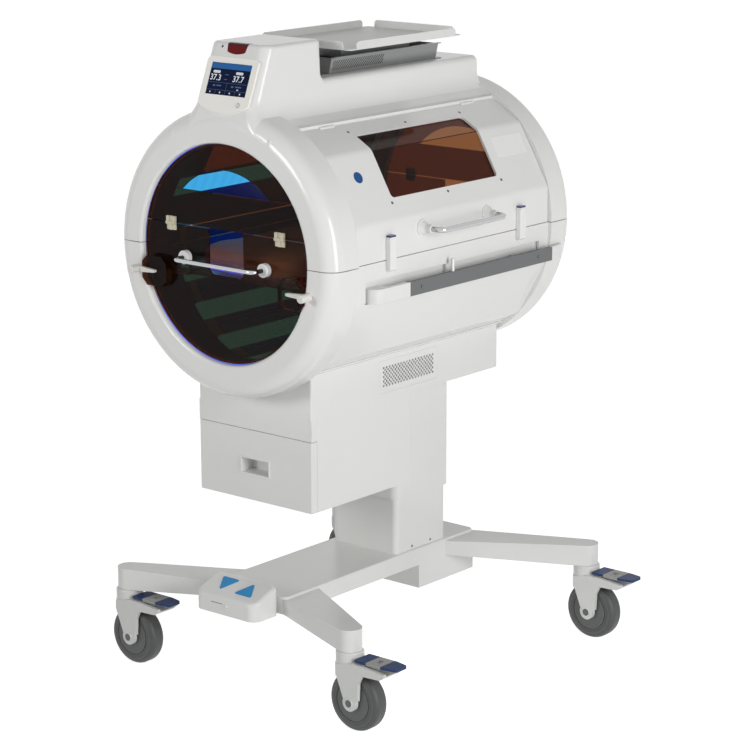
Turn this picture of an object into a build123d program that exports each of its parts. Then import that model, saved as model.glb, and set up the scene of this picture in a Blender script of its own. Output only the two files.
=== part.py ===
# Infant phototherapy unit: a twelve-sided light cabin on a lifting column and a castered base.
# Millimetres. X points to the unit's right, Y to its rear and Z up from the floor.
from build123d import *
import math
import os

os.makedirs("parts", exist_ok=True)

# Clearances and helpers for cuts
overrun = 2.0
seat_gap = 0.3
shaft_gap = 0.05
cover_gap = 1.6
parallel_share = 0.999
reach_share = 1.4

# Cabin: a twelve-sided body between two round end rings, on an axis along Y
axis_height = 925.0
cabin_centre = -8.0
cabin_length = 786.0
facet_count = 12
body_radius = 293.0
crease_radius = 24.0
body_wall = 5.0
ring_radius = 293.0
ring_mouth_radius = 223.0
ring_depth = 78.0
ring_wall = 5.0
ring_edge_radius = 33.0
ring_lip_radius = 7.0
stop_height = 6.0
stop_thickness = 3.0

cabin_front = cabin_centre - cabin_length / 2
cabin_rear = cabin_centre + cabin_length / 2
body_front = cabin_front + ring_depth
body_rear = cabin_rear - ring_depth
body_length = body_rear - body_front
facet_step = 360 / facet_count
apothem = body_radius * math.cos(math.radians(facet_step / 2))
inner_apothem = apothem - body_wall
inner_radius = inner_apothem / math.cos(math.radians(facet_step / 2))
mid_plane = Plane.XZ.offset(-cabin_centre)

# Spine along the roof, which rises into the display turret at the front
spine_top = 337.0
spine_top_half = 80.0
spine_waist_half = 82.0
spine_waist_height = 308.0
spine_foot_half = 132.5
spine_lip = 6.0
spine_base = 220.0
spine_overhang = 11.0
turret_top = 416.0
turret_rear = -185.0
turret_kink = 268.0
turret_lean = 59.0
turret_kink_radius = 120.0
turret_corner_radius = 26.0
turret_step_radius = 14.0
turret_rear_radius = 14.0
turret_edge_radius = 9.0
cover_wall = 4.0
cavity_floor = 297.0
throat_gap = 16.0
air_slot_length = 300.0
air_slot_width = 50.0

# Side doors with their windows
door_front = body_front + cover_gap
door_rear = body_rear - cover_gap
window_front = -184.0
window_rear = 160.0
window_lower_along = -30.0
window_upper_along = -27.0
window_corner_radius = 9.0
window_margin = 17.0
window_thickness = 4.0
door_hinge_inset_front = 88.0
door_hinge_inset_rear = 92.0
door_hinge_places = (body_front + door_hinge_inset_front, body_rear - door_hinge_inset_rear)
door_knuckle_radius = 3.2
door_knuckle_length = 14.0
door_pin_radius = 1.5
pocket_gap = 0.5

# Side door handle
handle_front = -117.0
handle_rear = 94.0
handle_height = 49.0
handle_reach = 57.0
handle_bar_radius = 5.5
handle_bend_radius = 16.0
handle_flange_radius = 17.0
handle_flange_depth = 6.0
handle_neck_radius = 8.5
handle_neck_depth = 26.0

# Side latches, upright bars across the seam
latch_inset_front = 101.0
latch_inset_rear = 104.0
latch_places = (body_front + latch_inset_front, body_rear - latch_inset_rear)
latch_width = 20.0
latch_depth = 13.0
latch_low = -22.0
latch_length = 72.0
latch_cap = 7.0
latch_cap_inset = 1.5
latch_gap = 0.4
latch_edge_radius = 2.0
latch_tongue = 6.0
latch_tongue_radius = 4.5
latch_pin_radius = 2.0

# Accessory rails along both sides
rail_front = -181.0
rail_rear = 294.0
rail_low = -78.0
rail_height = 28.6
rail_thickness = 10.0
rail_outer = 305.0
rail_screw_radius = 4.0
rail_screw_head = 1.2
rail_screw_places = (-143.0, 247.0)
rail_post_places = (-150.0, 190.0)
rail_post_radius = 8.0
recess_front = -293.0
recess_rear = 276.0
recess_low = -80.0
recess_high = -36.0
recess_depth = 12.0
bracket_front = -288.0
bracket_block = 45.0
bracket_corner_radius = 24.0
bracket_thickness = 12.0
tail_reach = 46.0
tail_thickness = 7.0
tail_bow = 6.0
peg_place = -40.0
peg_radius = 4.0
peg_height = 26.0

# End windows, end doors and their fittings
end_plate_depth = 13.0
end_plate_thickness = 4.0
arch_radius = 169.0
chord_height = 121.0
chord_gap = 0.8
hinge_height = 48.5
hinge_gap = 1.0
door_plate_radius = 221.0
port_half = 47.0
port_bottom = -45.0
port_corner_radius = 14.0
pad_inner = 152.0
pad_outer = 220.0
pad_block_outer = 206.0
pad_low = -85.0
pad_high = -23.0
pad_chamfer = 14.0
pad_plate = 3.0
pad_stand_off = 0.5
leaf_half = 12.0
leaf_height = 14.0
leaf_thickness = 3.0
leaf_place = 147.0
knuckle_radius = 3.6
grip_half = 107.5
grip_height = -17.0
grip_reach = 39.0
grip_radius = 4.5
grip_bend_radius = 12.0
grip_collar_radius = 14.0
grip_collar_depth = 12.0
lever_place = 231.0
lever_height = -53.0
lever_boss_radius = 8.5
lever_boss_depth = 27.0
lever_length = 50.0
lever_root_radius = 6.5
lever_tip_radius = 3.0
lever_thickness = 6.5
lever_pin_radius = 3.0
lever_gap = 0.5

# Lamps, bed and mattress
lamp_width = 38.0
lamp_thickness = 8.0
lamp_length = 508.0
lamp_circle = 250.0
lamp_step = 20
lamp_first = 200
lamp_count = 8
lamp_rib_width = 6.0
lamp_rib_inset = 30.0
roof_lamp_place = 46.0
door_lamp_along = -51.0
bed_half = 196.0
bed_length = 600.0
bed_level = -73.0
bed_thickness = 4.0
bed_rim = 18.0
bed_corner_radius = 28.0
ledge_reach = 96.0
ledge_length = 40.0
ledge_thickness = 4.0
mattress_half = 184.0
mattress_length = 572.0
mattress_height = 55.0
mattress_corner_radius = 40.0
mattress_draw = 5.0
mattress_crown = 26.0
mattress_side_shares = (
    (0.0, 1.0, 0.0),
    (0.22, 0.0, 0.0),
    (0.62, 0.1, 0.0),
    (0.9, 0.0, 0.4),
    (1.0, 0.0, 1.0),
)

# Plenum box under the cabin
plenum_half = 155.0
plenum_front = -311.0
plenum_rear = 302.0
plenum_drop = 334.0
plenum_floor = axis_height - plenum_drop
plenum_wall = 3.0
plenum_edge_radius = 4.0
skirt_width = 12.0
skirt_thickness = 2.0
vent_front = -99.0
vent_rear = 92.0
vent_rise = 15.0
vent_opening = 69.0
vent_low = plenum_floor + vent_rise
vent_high = vent_low + vent_opening
vent_pitch = 9.5
vent_hole_radius = 2.6
vent_border = 6.0
fan_place = 180.0
fan_radius = 44.0
fan_hub_radius = 20.0
fan_height = 18.0
fan_blade_count = 7
fan_blade_thickness = 2.0
fan_blade_pitch = 30.0
fan_post_radius = 5.0
fan_lift = 10.0
fan_bore_depth = 15.0

# Drawer and its housing
drawer_drop = 193.5
drawer_floor = plenum_floor - drawer_drop
drawer_rear = 4.5
housing_front = -293.0
drawer_head = 43.5
drawer_front_thickness = 18.0
drawer_wall = 2.5
drawer_edge_radius = 3.0
drawer_gap = 1.2
drawer_face_gap = 0.4
drawer_side_gap = 4.0
drawer_box_depth = 118.0
drawer_box_length = 270.0
runner_width = 16.0
runner_thickness = 3.0
pull_width = 82.0
pull_height = 38.0
pull_rise = 72.5
pull_centre = drawer_floor + pull_rise
pull_frame = 3.5
pull_proud = 1.5
pull_depth = 34.0
pull_wall = 2.0
foot_radius = 4.0
foot_height = 4.0
foot_inset = 12.0

# Lifting column
column_half = 90.0
column_front = 35.0
column_rear = 205.0
column_head = 11.0
column_top = plenum_floor - column_head
column_wall = 4.0
column_corner_radius = 12.0
sleeve_clearance = 2.5
sleeve_wall = 4.0
sleeve_length = 254.0
sleeve_bottom = plenum_floor - sleeve_length
sleeve_plate = 8.0
guide_pad_width = 30.0
guide_pad_height = 60.0
actuator_radius = 24.0
actuator_head = 25.0
actuator_top = column_top - actuator_head
actuator_floor = 12.0
rod_radius = 12.0
rod_length = 300.0

# Base frame
beam_half = 97.0
beam_front = -331.0
beam_rear = 299.0
beam_bottom = 175.0
beam_top = 213.0
beam_corner_radius = 14.0
beam_edge_radius = 3.0
leg_root_top = 207.0
leg_root_bottom = 176.0
leg_tip_top = 210.0
leg_tip_bottom = 164.3
leg_tip_radius = 25.0
leg_root_inset = 12.0
beam_wall = 6.0
leg_level_reach = 20.0
front_leg_root = (-329.0, -227.0)
rear_leg_root = (194.0, 296.0)
front_stem_half = 309.0
front_stem_y = -376.0
rear_stem_half = 350.0
rear_stem_y = 376.0
box_front = 106.5
box_rear = 297.0
box_height = 54.0
box_inset = 2.0

# Casters
wheel_radius = 62.5
wheel_width = 38.0
tread_edge_radius = 12.0
hub_radius = 40.0
hub_groove = 2.0
hub_groove_depth = 2.5
hub_boss_radius = 16.0
wheel_side_gap = 2.5
caster_trail = 22.0
cap_radius = 29.0
cap_height = 27.0
cap_edge_radius = 4.0
stem_radius = 8.0
stem_length = 34.0
cheek_thickness = 8.5
cheek_foot_radius = 17.0
wheel_clearance = 4.0
axle_radius = 6.0
axle_head_radius = 9.0
axle_head_depth = 2.5
crown_radius = 30.0
crown_height = 27.0
cheek_outline = (
    (-36.0, 75.0), (-36.0, 57.0), (-30.0, 43.0), (-16.0, 8.0), (2.0, 0.0), (21.0, 8.0), (23.0, 45.0),
    (33.0, 64.0), (79.0, 66.0), (90.0, 75.0), (88.0, 79.0), (30.0, 84.0), (7.0, 84.0),
)
guard_reach = 104.0
fender_front = 46.0
fender_rear = 80.0
fender_thickness = 3.0
brake_root = 31.0
brake_reach = 133.0
brake_width = 46.0
brake_thickness = 6.0
brake_rise = 86.0
brake_corner_radius = 6.0
brake_tip_width = 34.0
brake_hole = 14.0
brake_hole_place = 76.0
brake_lug_width = 16.0
brake_lug_radius = 6.0
brake_pin_radius = 3.0
brake_pin_place = 40.0
brake_pin_rise = 78.0
brake_shoe_length = 12.0
brake_shoe_place = 58.0
brake_shoe_rise = 58.0

# Foot switch
switch_half = 85.0
switch_depth = 80.0
switch_floor = 175.0
switch_back_top = 241.0
switch_front_top = 212.0
switch_corner_radius = 22.0
switch_edge_radius = 9.0
key_place = 32.0
key_size = 46.0
key_shift_share = 0.25
key_sides = 3
key_corner_radius = 3.0
key_depth = 7.0
key_proud = 1.5
key_gap = 0.5
key_travel = 3.0
switch_gap = 0.3
switch_cavity_height = 18.0
switch_wall = 5.0

# Display on the turret
bezel_half = 67.5
bezel_top_height = 388.0
bezel_corner_height = 299.0
bezel_sag = 17.0
bezel_corner_radius = 8.0
bezel_thickness = 2.5
bezel_skirt = 5.0
screen_half = 53.0
screen_height = 64.5
screen_centre_height = 347.0
screen_thickness = 1.6
screen_recess = 0.4
knob_place = 40.0
knob_height = 301.0
knob_radius = 3.6
knob_length = 8.0
knob_proud = 2.0
knob_gap = 0.3
beacon_half = 28.0
beacon_bottom_half = 24.0
beacon_height = 17.0
beacon_sag = 4.0
beacon_depth = 16.0
beacon_gap = 0.3
eye_place = -40.0
eye_height = 408.0
eye_radius = 3.0
eye_depth = 3.0

# Top tray on its cradle
tray_half = 128.0
tray_front = -153.0
tray_rear = 205.0
tray_rise = 56.0
tray_floor = axis_height + spine_top + tray_rise
tray_sheet = 2.0
tray_rim = 15.0
tray_notch = 20.0
rim_corner_radius = 8.0
tray_corner_radius = 7.0
cradle_half = 58.0
cradle_foot_half = 50.0
cradle_front = -130.0
cradle_rear = 215.0
cradle_height = 34.0
cradle_sheet = 1.8
cradle_lip = 8.0
cradle_foot = 20.0
fin_block_half = 38.0
fin_count = 30
fin_depth = 16.0
fin_gap = 4.0
fin_block_inset = 28.0
fin_base = 6.0
spacer_half = 30.0
spacer_length = 220.0

# The wheels all trail to the same side, so the model's frame is set to the middle of its outline
wheel_side_reach = rear_stem_half - caster_trail + wheel_radius
brake_side_reach = rear_stem_half + brake_reach
frame_shift = Location(((wheel_side_reach - brake_side_reach) / 2, -cabin_centre, 0))


def write_piece(shape, name):
    piece = shape.moved(frame_shift)
    piece.label = name
    export_step(piece, f"parts/{name}.step")


def section_plane(y):
    """Upright plane across the cabin: local x is X, local y is the height above the axis."""
    return Plane(origin=(0, y, axis_height), x_dir=(1, 0, 0), z_dir=(0, -1, 0))


def facet_plane(angle, distance):
    """Plane on a facet that faces the angle: local x is Y, local y runs up along the facet."""
    turn = math.radians(angle)
    normal = (math.cos(turn), 0, math.sin(turn))
    origin = (distance * normal[0], 0, axis_height + distance * normal[2])
    return Plane(origin=origin, x_dir=(0, 1, 0), z_dir=normal)


def facet_point(angle, distance, along):
    """Point in the cabin's cross-section, given from the middle of a facet."""
    turn = math.radians(angle)
    return (
        distance * math.cos(turn) - along * math.sin(turn),
        distance * math.sin(turn) + along * math.cos(turn),
    )


def outline_face(radius, rounding=0):
    """Twelve-sided outline of the cabin in the current sketch."""
    outline = RegularPolygon(radius, facet_count, rotation=facet_step / 2)
    if rounding:
        fillet(outline.vertices(), rounding)


def edges_along(solid, direction):
    return [edge for edge in solid.edges() if abs((edge % 0.5).dot(direction)) > parallel_share]


def half_space_box(height, above):
    """Large box above or below a height, used to part the covers at the seam."""
    reach = reach_share * cabin_length
    align_z = Align.MIN if above else Align.MAX
    with Locations((0, cabin_centre, height)):
        Box(reach, reach, reach, align=(Align.CENTER, Align.CENTER, align_z), mode=Mode.SUBTRACT)


def upright_at(x, y, height):
    """Level plane at a height above the axis, with local x to the right and local y outward."""
    return Plane(origin=(x, y, axis_height + height), x_dir=(1, 0, 0), z_dir=(0, 0, -1))


def bent_bar(plane, first, last, reach, bend, radius):
    """Round bar bent into a U on a plane: its legs stand on the plane's local x axis."""
    with BuildPart() as bar:
        with BuildLine(plane) as path:
            FilletPolyline((first, 0), (first, reach), (last, reach), (last, 0), radius=bend)
        with BuildSketch(path.line ^ 0):
            Circle(radius)
        sweep(path=path.line)
    return bar.part


def mirrored(shape, plane):
    return mirror(shape, about=plane)


def both_sides(shapes):
    return shapes + [mirrored(shape, Plane.YZ) for shape in shapes]


# Space inside an end ring, turned about the cabin's axis
turning_plane = Plane(origin=(0, 0, axis_height), x_dir=(0, 1, 0), z_dir=(1, 0, 0))
turning_axis = Axis((0, 0, axis_height), (0, 1, 0))
with BuildPart() as ring_space:
    with BuildSketch(turning_plane):
        with BuildLine():
            Polyline(
                (cabin_front + ring_wall, ring_mouth_radius + ring_wall),
                (cabin_front + ring_wall, ring_radius - ring_edge_radius),
                (cabin_front + ring_edge_radius, ring_radius - ring_wall),
                (body_front - ring_wall, ring_radius - ring_wall),
                (body_front - ring_wall, inner_apothem),
                (body_front + overrun, inner_apothem),
                (body_front + overrun, ring_mouth_radius + ring_wall),
                close=True,
            )
        make_face()
    revolve(axis=turning_axis)

# End ring: a hollow round moulding with a stop for the end window inside its mouth
end_plate_front = cabin_front + end_plate_depth
end_plate_rear = end_plate_front + end_plate_thickness
with BuildPart() as front_ring:
    with BuildSketch(turning_plane) as ring_profile:
        with BuildLine():
            Polyline(
                (cabin_front, ring_mouth_radius),
                (cabin_front, ring_radius),
                (body_front, ring_radius),
                (body_front, ring_mouth_radius),
                close=True,
            )
        make_face()
        front_corners = ring_profile.vertices().group_by(Axis.X)[0].sort_by(Axis.Y)
        fillet(front_corners[-1], ring_edge_radius)
        front_corners = ring_profile.vertices().group_by(Axis.X)[0].sort_by(Axis.Y)
        fillet(front_corners[0], ring_lip_radius)
        with Locations((end_plate_rear + seat_gap, ring_mouth_radius - stop_height)):
            Rectangle(stop_thickness, stop_height + ring_wall / 2, align=(Align.MIN, Align.MIN))
    revolve(axis=turning_axis)
    add(ring_space.part, mode=Mode.SUBTRACT)

# Latches: upright bars that turn on pins at their lower ends
pivot_out = apothem + latch_gap + latch_depth / 2
pivot_rise = latch_low + latch_depth / 2
tongue_space = latch_tongue_radius + seat_gap


def latch_at(y):
    with BuildPart() as latch:
        with BuildSketch(section_plane(y - latch_width / 2)) as latch_side:
            with Locations((pivot_out, latch_low + (latch_length - latch_cap) / 2)):
                Rectangle(latch_depth, latch_length - latch_cap)
            fillet(latch_side.vertices().group_by(Axis.Y)[0], latch_depth / 2 - shaft_gap)
        extrude(amount=-latch_width)
        fillet(edges_along(latch, Vector(0, 0, 1)), latch_edge_radius)
        with Locations((pivot_out, y, axis_height + latch_low + latch_length - latch_cap)):
            Box(
                latch_depth - 2 * latch_cap_inset,
                latch_width - 2 * latch_cap_inset,
                latch_cap,
                align=(Align.CENTER, Align.CENTER, Align.MIN),
            )
        with Locations((pivot_out + tongue_space, y, axis_height + pivot_rise + tongue_space)):
            Box(
                latch_depth,
                latch_tongue + 2 * seat_gap,
                latch_length / 2,
                align=(Align.MAX, Align.CENTER, Align.MAX),
                mode=Mode.SUBTRACT,
            )
        with Locations((pivot_out, y, axis_height + pivot_rise)):
            Cylinder(
                latch_pin_radius + shaft_gap, latch_width, rotation=(90, 0, 0), mode=Mode.SUBTRACT
            )
    return latch.part


for place, y in zip(("front", "rear"), latch_places):
    right_latch = latch_at(y)
    write_piece(right_latch, f"latch_right_{place}")
    write_piece(mirrored(right_latch, Plane.YZ), f"latch_left_{place}")

# Latch hinges: a tongue and a pin on the shell, inside each latch
with BuildPart() as latch_hinges:
    for y in latch_places:
        with BuildSketch(section_plane(y - latch_tongue / 2)):
            with Locations((pivot_out, pivot_rise)):
                Circle(latch_tongue_radius)
                Rectangle(
                    latch_depth, 2 * latch_tongue_radius, align=(Align.MAX, Align.CENTER)
                )
        extrude(amount=-latch_tongue)
        with Locations((pivot_out, y, axis_height + pivot_rise)):
            Cylinder(latch_pin_radius, latch_width, rotation=(90, 0, 0))
    mirror(about=Plane.YZ)

# Lever pins on both end rings
with BuildPart() as lever_pins:
    with Locations(section_plane(cabin_front + ring_wall / 2)):
        with Locations((lever_place, lever_height), (-lever_place, lever_height)):
            Cylinder(
                lever_pin_radius,
                ring_wall / 2 + lever_boss_depth - ring_wall,
                align=(Align.CENTER, Align.CENTER, Align.MIN),
            )
    mirror(about=mid_plane)

# Lower shell: the lower half of the body and of both rings, with the lamp ribs and bed ledges
lamp_seat_radius = math.hypot(lamp_circle + lamp_thickness, lamp_width / 2) + seat_gap
recess_length = recess_rear - recess_front
recess_middle = (recess_front + recess_rear) / 2
with BuildPart() as lower_shell:
    with BuildSketch(section_plane(body_front)):
        outline_face(body_radius, crease_radius)
        RegularPolygon(inner_radius, facet_count, rotation=facet_step / 2, mode=Mode.SUBTRACT)
    extrude(amount=-body_length)
    for rib_y in (
        cabin_centre - lamp_length / 2 + lamp_rib_inset,
        cabin_centre + lamp_length / 2 - lamp_rib_inset - lamp_rib_width,
    ):
        with BuildSketch(section_plane(rib_y)):
            RegularPolygon(inner_radius + overrun, facet_count, rotation=facet_step / 2)
            Circle(lamp_seat_radius, mode=Mode.SUBTRACT)
        extrude(amount=-lamp_rib_width)
    for side in (-1, 1):
        for end in (-1, 1):
            ledge_y = cabin_centre + end * (bed_length - ledge_length) / 2
            with Locations((side * inner_apothem, ledge_y, axis_height + bed_level - seat_gap)):
                Box(
                    2 * ledge_reach,
                    ledge_length,
                    ledge_thickness,
                    align=(Align.CENTER, Align.CENTER, Align.MAX),
                )
        recess_floor = side * (apothem - recess_depth)
        with Locations((recess_floor, recess_middle, axis_height + (recess_low + recess_high) / 2)):
            Box(2 * body_wall, recess_length + 2 * body_wall, recess_high - recess_low + 2 * body_wall)
    with BuildSketch(section_plane(body_front)):
        Rectangle(reach_share * 2 * body_radius, reach_share * 2 * body_radius)
        RegularPolygon(body_radius, facet_count, rotation=facet_step / 2, mode=Mode.SUBTRACT)
    extrude(amount=-body_length, mode=Mode.SUBTRACT)
    for side in (-1, 1):
        recess_mouth = side * (apothem - recess_depth + body_radius / 2)
        with Locations((recess_mouth, recess_middle, axis_height + (recess_low + recess_high) / 2)):
            Box(body_radius, recess_length, recess_high - recess_low, mode=Mode.SUBTRACT)
    with Locations((0, cabin_centre, axis_height - apothem)):
        Box(air_slot_width, air_slot_length, 4 * body_wall, mode=Mode.SUBTRACT)
    add(front_ring.part)
    mirror(front_ring.part, about=mid_plane)
    half_space_box(axis_height - cover_gap / 2, above=True)
    add(latch_hinges.part)
    add(lever_pins.part)
write_piece(lower_shell.part, "lower_shell")

# Levers on the end rings: a round boss and a tapered arm over the door's pad
with BuildPart() as lever:
    with Locations(section_plane(cabin_front - seat_gap)):
        with Locations((lever_place, lever_height)):
            Cylinder(
                lever_boss_radius,
                lever_boss_depth,
                align=(Align.CENTER, Align.CENTER, Align.MIN),
            )
    fillet(lever.faces().sort_by(Axis.Y)[0].edges(), latch_edge_radius)
    with BuildSketch(section_plane(cabin_front - pad_stand_off - pad_plate - lever_gap)):
        with Locations((lever_place, lever_height)):
            Circle(lever_root_radius)
        with Locations((lever_place - lever_length, lever_height)):
            Circle(lever_tip_radius)
        make_hull()
    extrude(amount=lever_thickness)
    with Locations(section_plane(cabin_front)):
        with Locations((lever_place, lever_height)):
            Cylinder(
                lever_pin_radius + shaft_gap,
                lever_boss_depth - ring_wall + seat_gap,
                align=(Align.CENTER, Align.CENTER, Align.MIN),
                mode=Mode.SUBTRACT,
            )
for side, shape in (("right", lever.part), ("left", mirrored(lever.part, Plane.YZ))):
    write_piece(shape, f"lever_front_{side}")
    write_piece(mirrored(shape, mid_plane), f"lever_rear_{side}")

# Side doors' upper edges, and the hinges along them: knuckles on a pin
door_top_along = (apothem * math.cos(math.radians(60)) - spine_foot_half - cover_gap) / math.sin(
    math.radians(60)
)
hinge_x, hinge_rise = facet_point(60, apothem, door_top_along)
sector_far = reach_share * body_radius


def door_sector(along):
    """Corners of the sector that a right side door fills, up to a place on its top facet."""
    return (
        (body_radius / 2, cover_gap / 2),
        (sector_far, cover_gap / 2),
        (sector_far, sector_far),
        facet_point(60, sector_far, along),
        facet_point(60, body_radius / 2, along),
    )


def hinge_rod(y, length, radius):
    """Rod along a side door's hinge line, centred on a place along the cabin."""
    with BuildPart() as rod:
        with Locations((hinge_x, y, axis_height + hinge_rise)):
            Cylinder(radius, length, rotation=(90, 0, 0))
    return rod.part


# Spine and turret: one block along the roof, drawn in the cross-section and from the side
foot_rise = facet_point(60, apothem, (apothem / 2 - spine_foot_half) / math.sin(math.radians(60)))[1]
with BuildPart() as roof_block:
    with BuildSketch(section_plane(cabin_front)):
        with BuildLine():
            Polyline(
                (0, turret_top), (spine_top_half, turret_top), (spine_waist_half, spine_waist_height)
            )
            TangentArc(
                (spine_waist_half, spine_waist_height),
                (spine_foot_half, foot_rise + spine_lip),
                tangent=(0, -1),
            )
            Polyline(
                (spine_foot_half, foot_rise + spine_lip), (spine_foot_half, spine_base), (0, spine_base)
            )
            mirror(about=Plane.YZ)
        make_face()
    extrude(amount=-(body_rear + spine_overhang - cabin_front))
    with BuildSketch(turning_plane) as block_side:
        with BuildLine():
            Polyline(
                (cabin_front, spine_base),
                (cabin_front, turret_kink),
                (cabin_front + turret_lean, turret_top),
                (turret_rear, turret_top),
                (turret_rear + overrun, spine_top),
                (body_rear + spine_overhang, spine_top),
                (body_rear + spine_overhang, spine_base),
                close=True,
            )
        make_face()
        kink = Vector(cabin_front, turret_kink)
        fillet(block_side.vertices().sort_by_distance(kink)[0], turret_kink_radius)
        step = Vector(turret_rear + overrun, spine_top)
        fillet(block_side.vertices().sort_by_distance(step)[0], turret_step_radius)
    extrude(amount=reach_share * spine_foot_half, both=True, mode=Mode.INTERSECT)
    slant_middle = cabin_front + turret_lean / 2
    slant_height = axis_height + (turret_kink + turret_top) / 2
    for side in (-1, 1):
        slant_edge = Vector(side * spine_top_half, slant_middle, slant_height)
        fillet(roof_block.edges().sort_by_distance(slant_edge)[0], turret_corner_radius)
    for side in (-1, 1):
        rear_edge = Vector(
            side * spine_top_half, turret_rear, axis_height + (turret_top + spine_top) / 2
        )
        fillet(roof_block.edges().sort_by_distance(rear_edge)[0], turret_rear_radius)
    fillet(roof_block.faces().sort_by(Axis.Z)[-1].edges(), turret_edge_radius)

# Alarm lamp: the piece of the turret's front top edge inside a notch
slant_turn = math.degrees(math.atan2(turret_lean, turret_top - turret_kink))
slant_plane = Plane(
    origin=(0, cabin_front, axis_height + turret_kink),
    x_dir=(1, 0, 0),
    z_dir=(0, -math.cos(math.radians(slant_turn)), math.sin(math.radians(slant_turn))),
)


def slant_at(height):
    """Distance up the turret's slanted front of a height above the axis."""
    return (height - turret_kink) / math.cos(math.radians(slant_turn))


def beacon_prism(half_top, half_bottom, bottom, depth):
    beacon_rear = cabin_front + turret_lean + depth
    with BuildPart() as prism:
        with BuildSketch(section_plane(cabin_front)):
            with BuildLine():
                Polyline(
                    (-half_bottom, bottom),
                    (-half_top, turret_top + overrun),
                    (half_top, turret_top + overrun),
                    (half_bottom, bottom),
                )
                ThreePointArc((half_bottom, bottom), (0, bottom - beacon_sag), (-half_bottom, bottom))
            make_face()
        extrude(amount=cabin_front - beacon_rear)
    return prism.part


beacon_bottom = turret_top - beacon_height
beacon_notch = beacon_prism(beacon_half, beacon_bottom_half, beacon_bottom, beacon_depth)
beacon_body = beacon_prism(
    beacon_half - beacon_gap,
    beacon_bottom_half - beacon_gap,
    beacon_bottom + beacon_gap,
    beacon_depth - beacon_gap,
)
with BuildPart() as alarm_lamp:
    add(roof_block.part)
    add(beacon_body, mode=Mode.INTERSECT)
write_piece(alarm_lamp.part, "alarm_lamp")

# Rods along the side doors' hinge lines: the cover's knuckles and pins, and the doors' own knuckles
pocket_radius = door_knuckle_radius + pocket_gap
knuckle_places = [
    y + end * (door_knuckle_length + seat_gap) for y in door_hinge_places for end in (-1, 1)
]
cover_knuckles = [hinge_rod(y, door_knuckle_length, door_knuckle_radius) for y in knuckle_places]
cover_pins = [hinge_rod(y, 3 * door_knuckle_length, door_pin_radius) for y in door_hinge_places]
cover_pockets = [hinge_rod(y, door_knuckle_length, pocket_radius) for y in door_hinge_places]
door_knuckles = [
    hinge_rod(y, door_knuckle_length, door_knuckle_radius) for y in door_hinge_places
]
door_bores = [
    hinge_rod(y, 3 * door_knuckle_length, door_pin_radius + shaft_gap) for y in door_hinge_places
]
door_pockets = [
    hinge_rod(y, door_knuckle_length + 2 * seat_gap, pocket_radius) for y in knuckle_places
]

# Top cover: the roof, the upper halves of both rings, the spine and the turret in one moulding
rear_ring_space = mirrored(ring_space.part, mid_plane)
cover_hinge_rods = both_sides(cover_knuckles + cover_pins)
cover_hinge_pockets = both_sides(cover_pockets)
with BuildPart() as top_cover:
    add(roof_block.part)
    with BuildSketch(turning_plane):
        with BuildLine():
            cavity_top = spine_top - cover_wall
            cavity_lean = turret_lean * (cavity_floor - turret_kink) / (turret_top - turret_kink)
            Polyline(
                (cabin_front + cavity_lean + 3 * cover_wall, cavity_floor),
                (cabin_front + turret_lean + 3 * cover_wall, turret_top - cover_wall),
                (turret_rear - 2 * cover_wall, turret_top - cover_wall),
                (turret_rear - cover_wall, cavity_top),
                (body_rear, cavity_top),
                (body_rear, cavity_floor),
                close=True,
            )
        make_face()
    extrude(amount=spine_top_half - 2 * cover_wall, both=True, mode=Mode.SUBTRACT)
    with BuildSketch(section_plane(cabin_front)):
        with Locations((0, turret_top)):
            Rectangle(
                2 * (beacon_half + cover_wall),
                beacon_height + beacon_sag + cover_wall,
                align=(Align.CENTER, Align.MAX),
            )
    extrude(amount=-(turret_lean + beacon_depth + cover_wall))
    add(roof_block.part, mode=Mode.INTERSECT)
    with BuildSketch(section_plane(body_front)):
        RegularPolygon(inner_radius, facet_count, rotation=facet_step / 2)
    extrude(amount=-body_length, mode=Mode.SUBTRACT)
    with BuildSketch(section_plane(cabin_front)):
        Circle(ring_mouth_radius + throat_gap)
    extrude(amount=-cabin_length, mode=Mode.SUBTRACT)
    add(ring_space.part, mode=Mode.SUBTRACT)
    add(rear_ring_space, mode=Mode.SUBTRACT)
    with BuildSketch(section_plane(body_front)):
        outline_face(body_radius, crease_radius)
        RegularPolygon(inner_radius, facet_count, rotation=facet_step / 2, mode=Mode.SUBTRACT)
        with Locations((0, apothem)):
            Rectangle(2 * (spine_foot_half + cover_gap), body_radius, mode=Mode.INTERSECT)
    extrude(amount=-body_length)
    with BuildSketch(section_plane(body_front)):
        with BuildLine():
            Polyline(*door_sector(door_top_along + cover_gap), close=True)
        make_face()
        mirror(about=Plane.YZ)
    extrude(amount=-body_length, mode=Mode.SUBTRACT)
    add(front_ring.part)
    mirror(front_ring.part, about=mid_plane)
    half_space_box(axis_height + cover_gap / 2, above=False)
    with Locations((0, cabin_centre, axis_height + apothem)):
        Box(air_slot_width, air_slot_length, 4 * body_wall, mode=Mode.SUBTRACT)
    add(beacon_notch, mode=Mode.SUBTRACT)
    with Locations(slant_plane):
        with Locations((knob_place, slant_at(knob_height))):
            Cylinder(knob_radius + knob_gap, 2 * knob_length, mode=Mode.SUBTRACT)
        with Locations((eye_place, slant_at(eye_height))):
            Cylinder(eye_radius, 2 * eye_depth, mode=Mode.SUBTRACT)
    add(cover_hinge_pockets, mode=Mode.SUBTRACT)
    add(cover_hinge_rods)
write_piece(top_cover.part, "top_cover")

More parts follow.
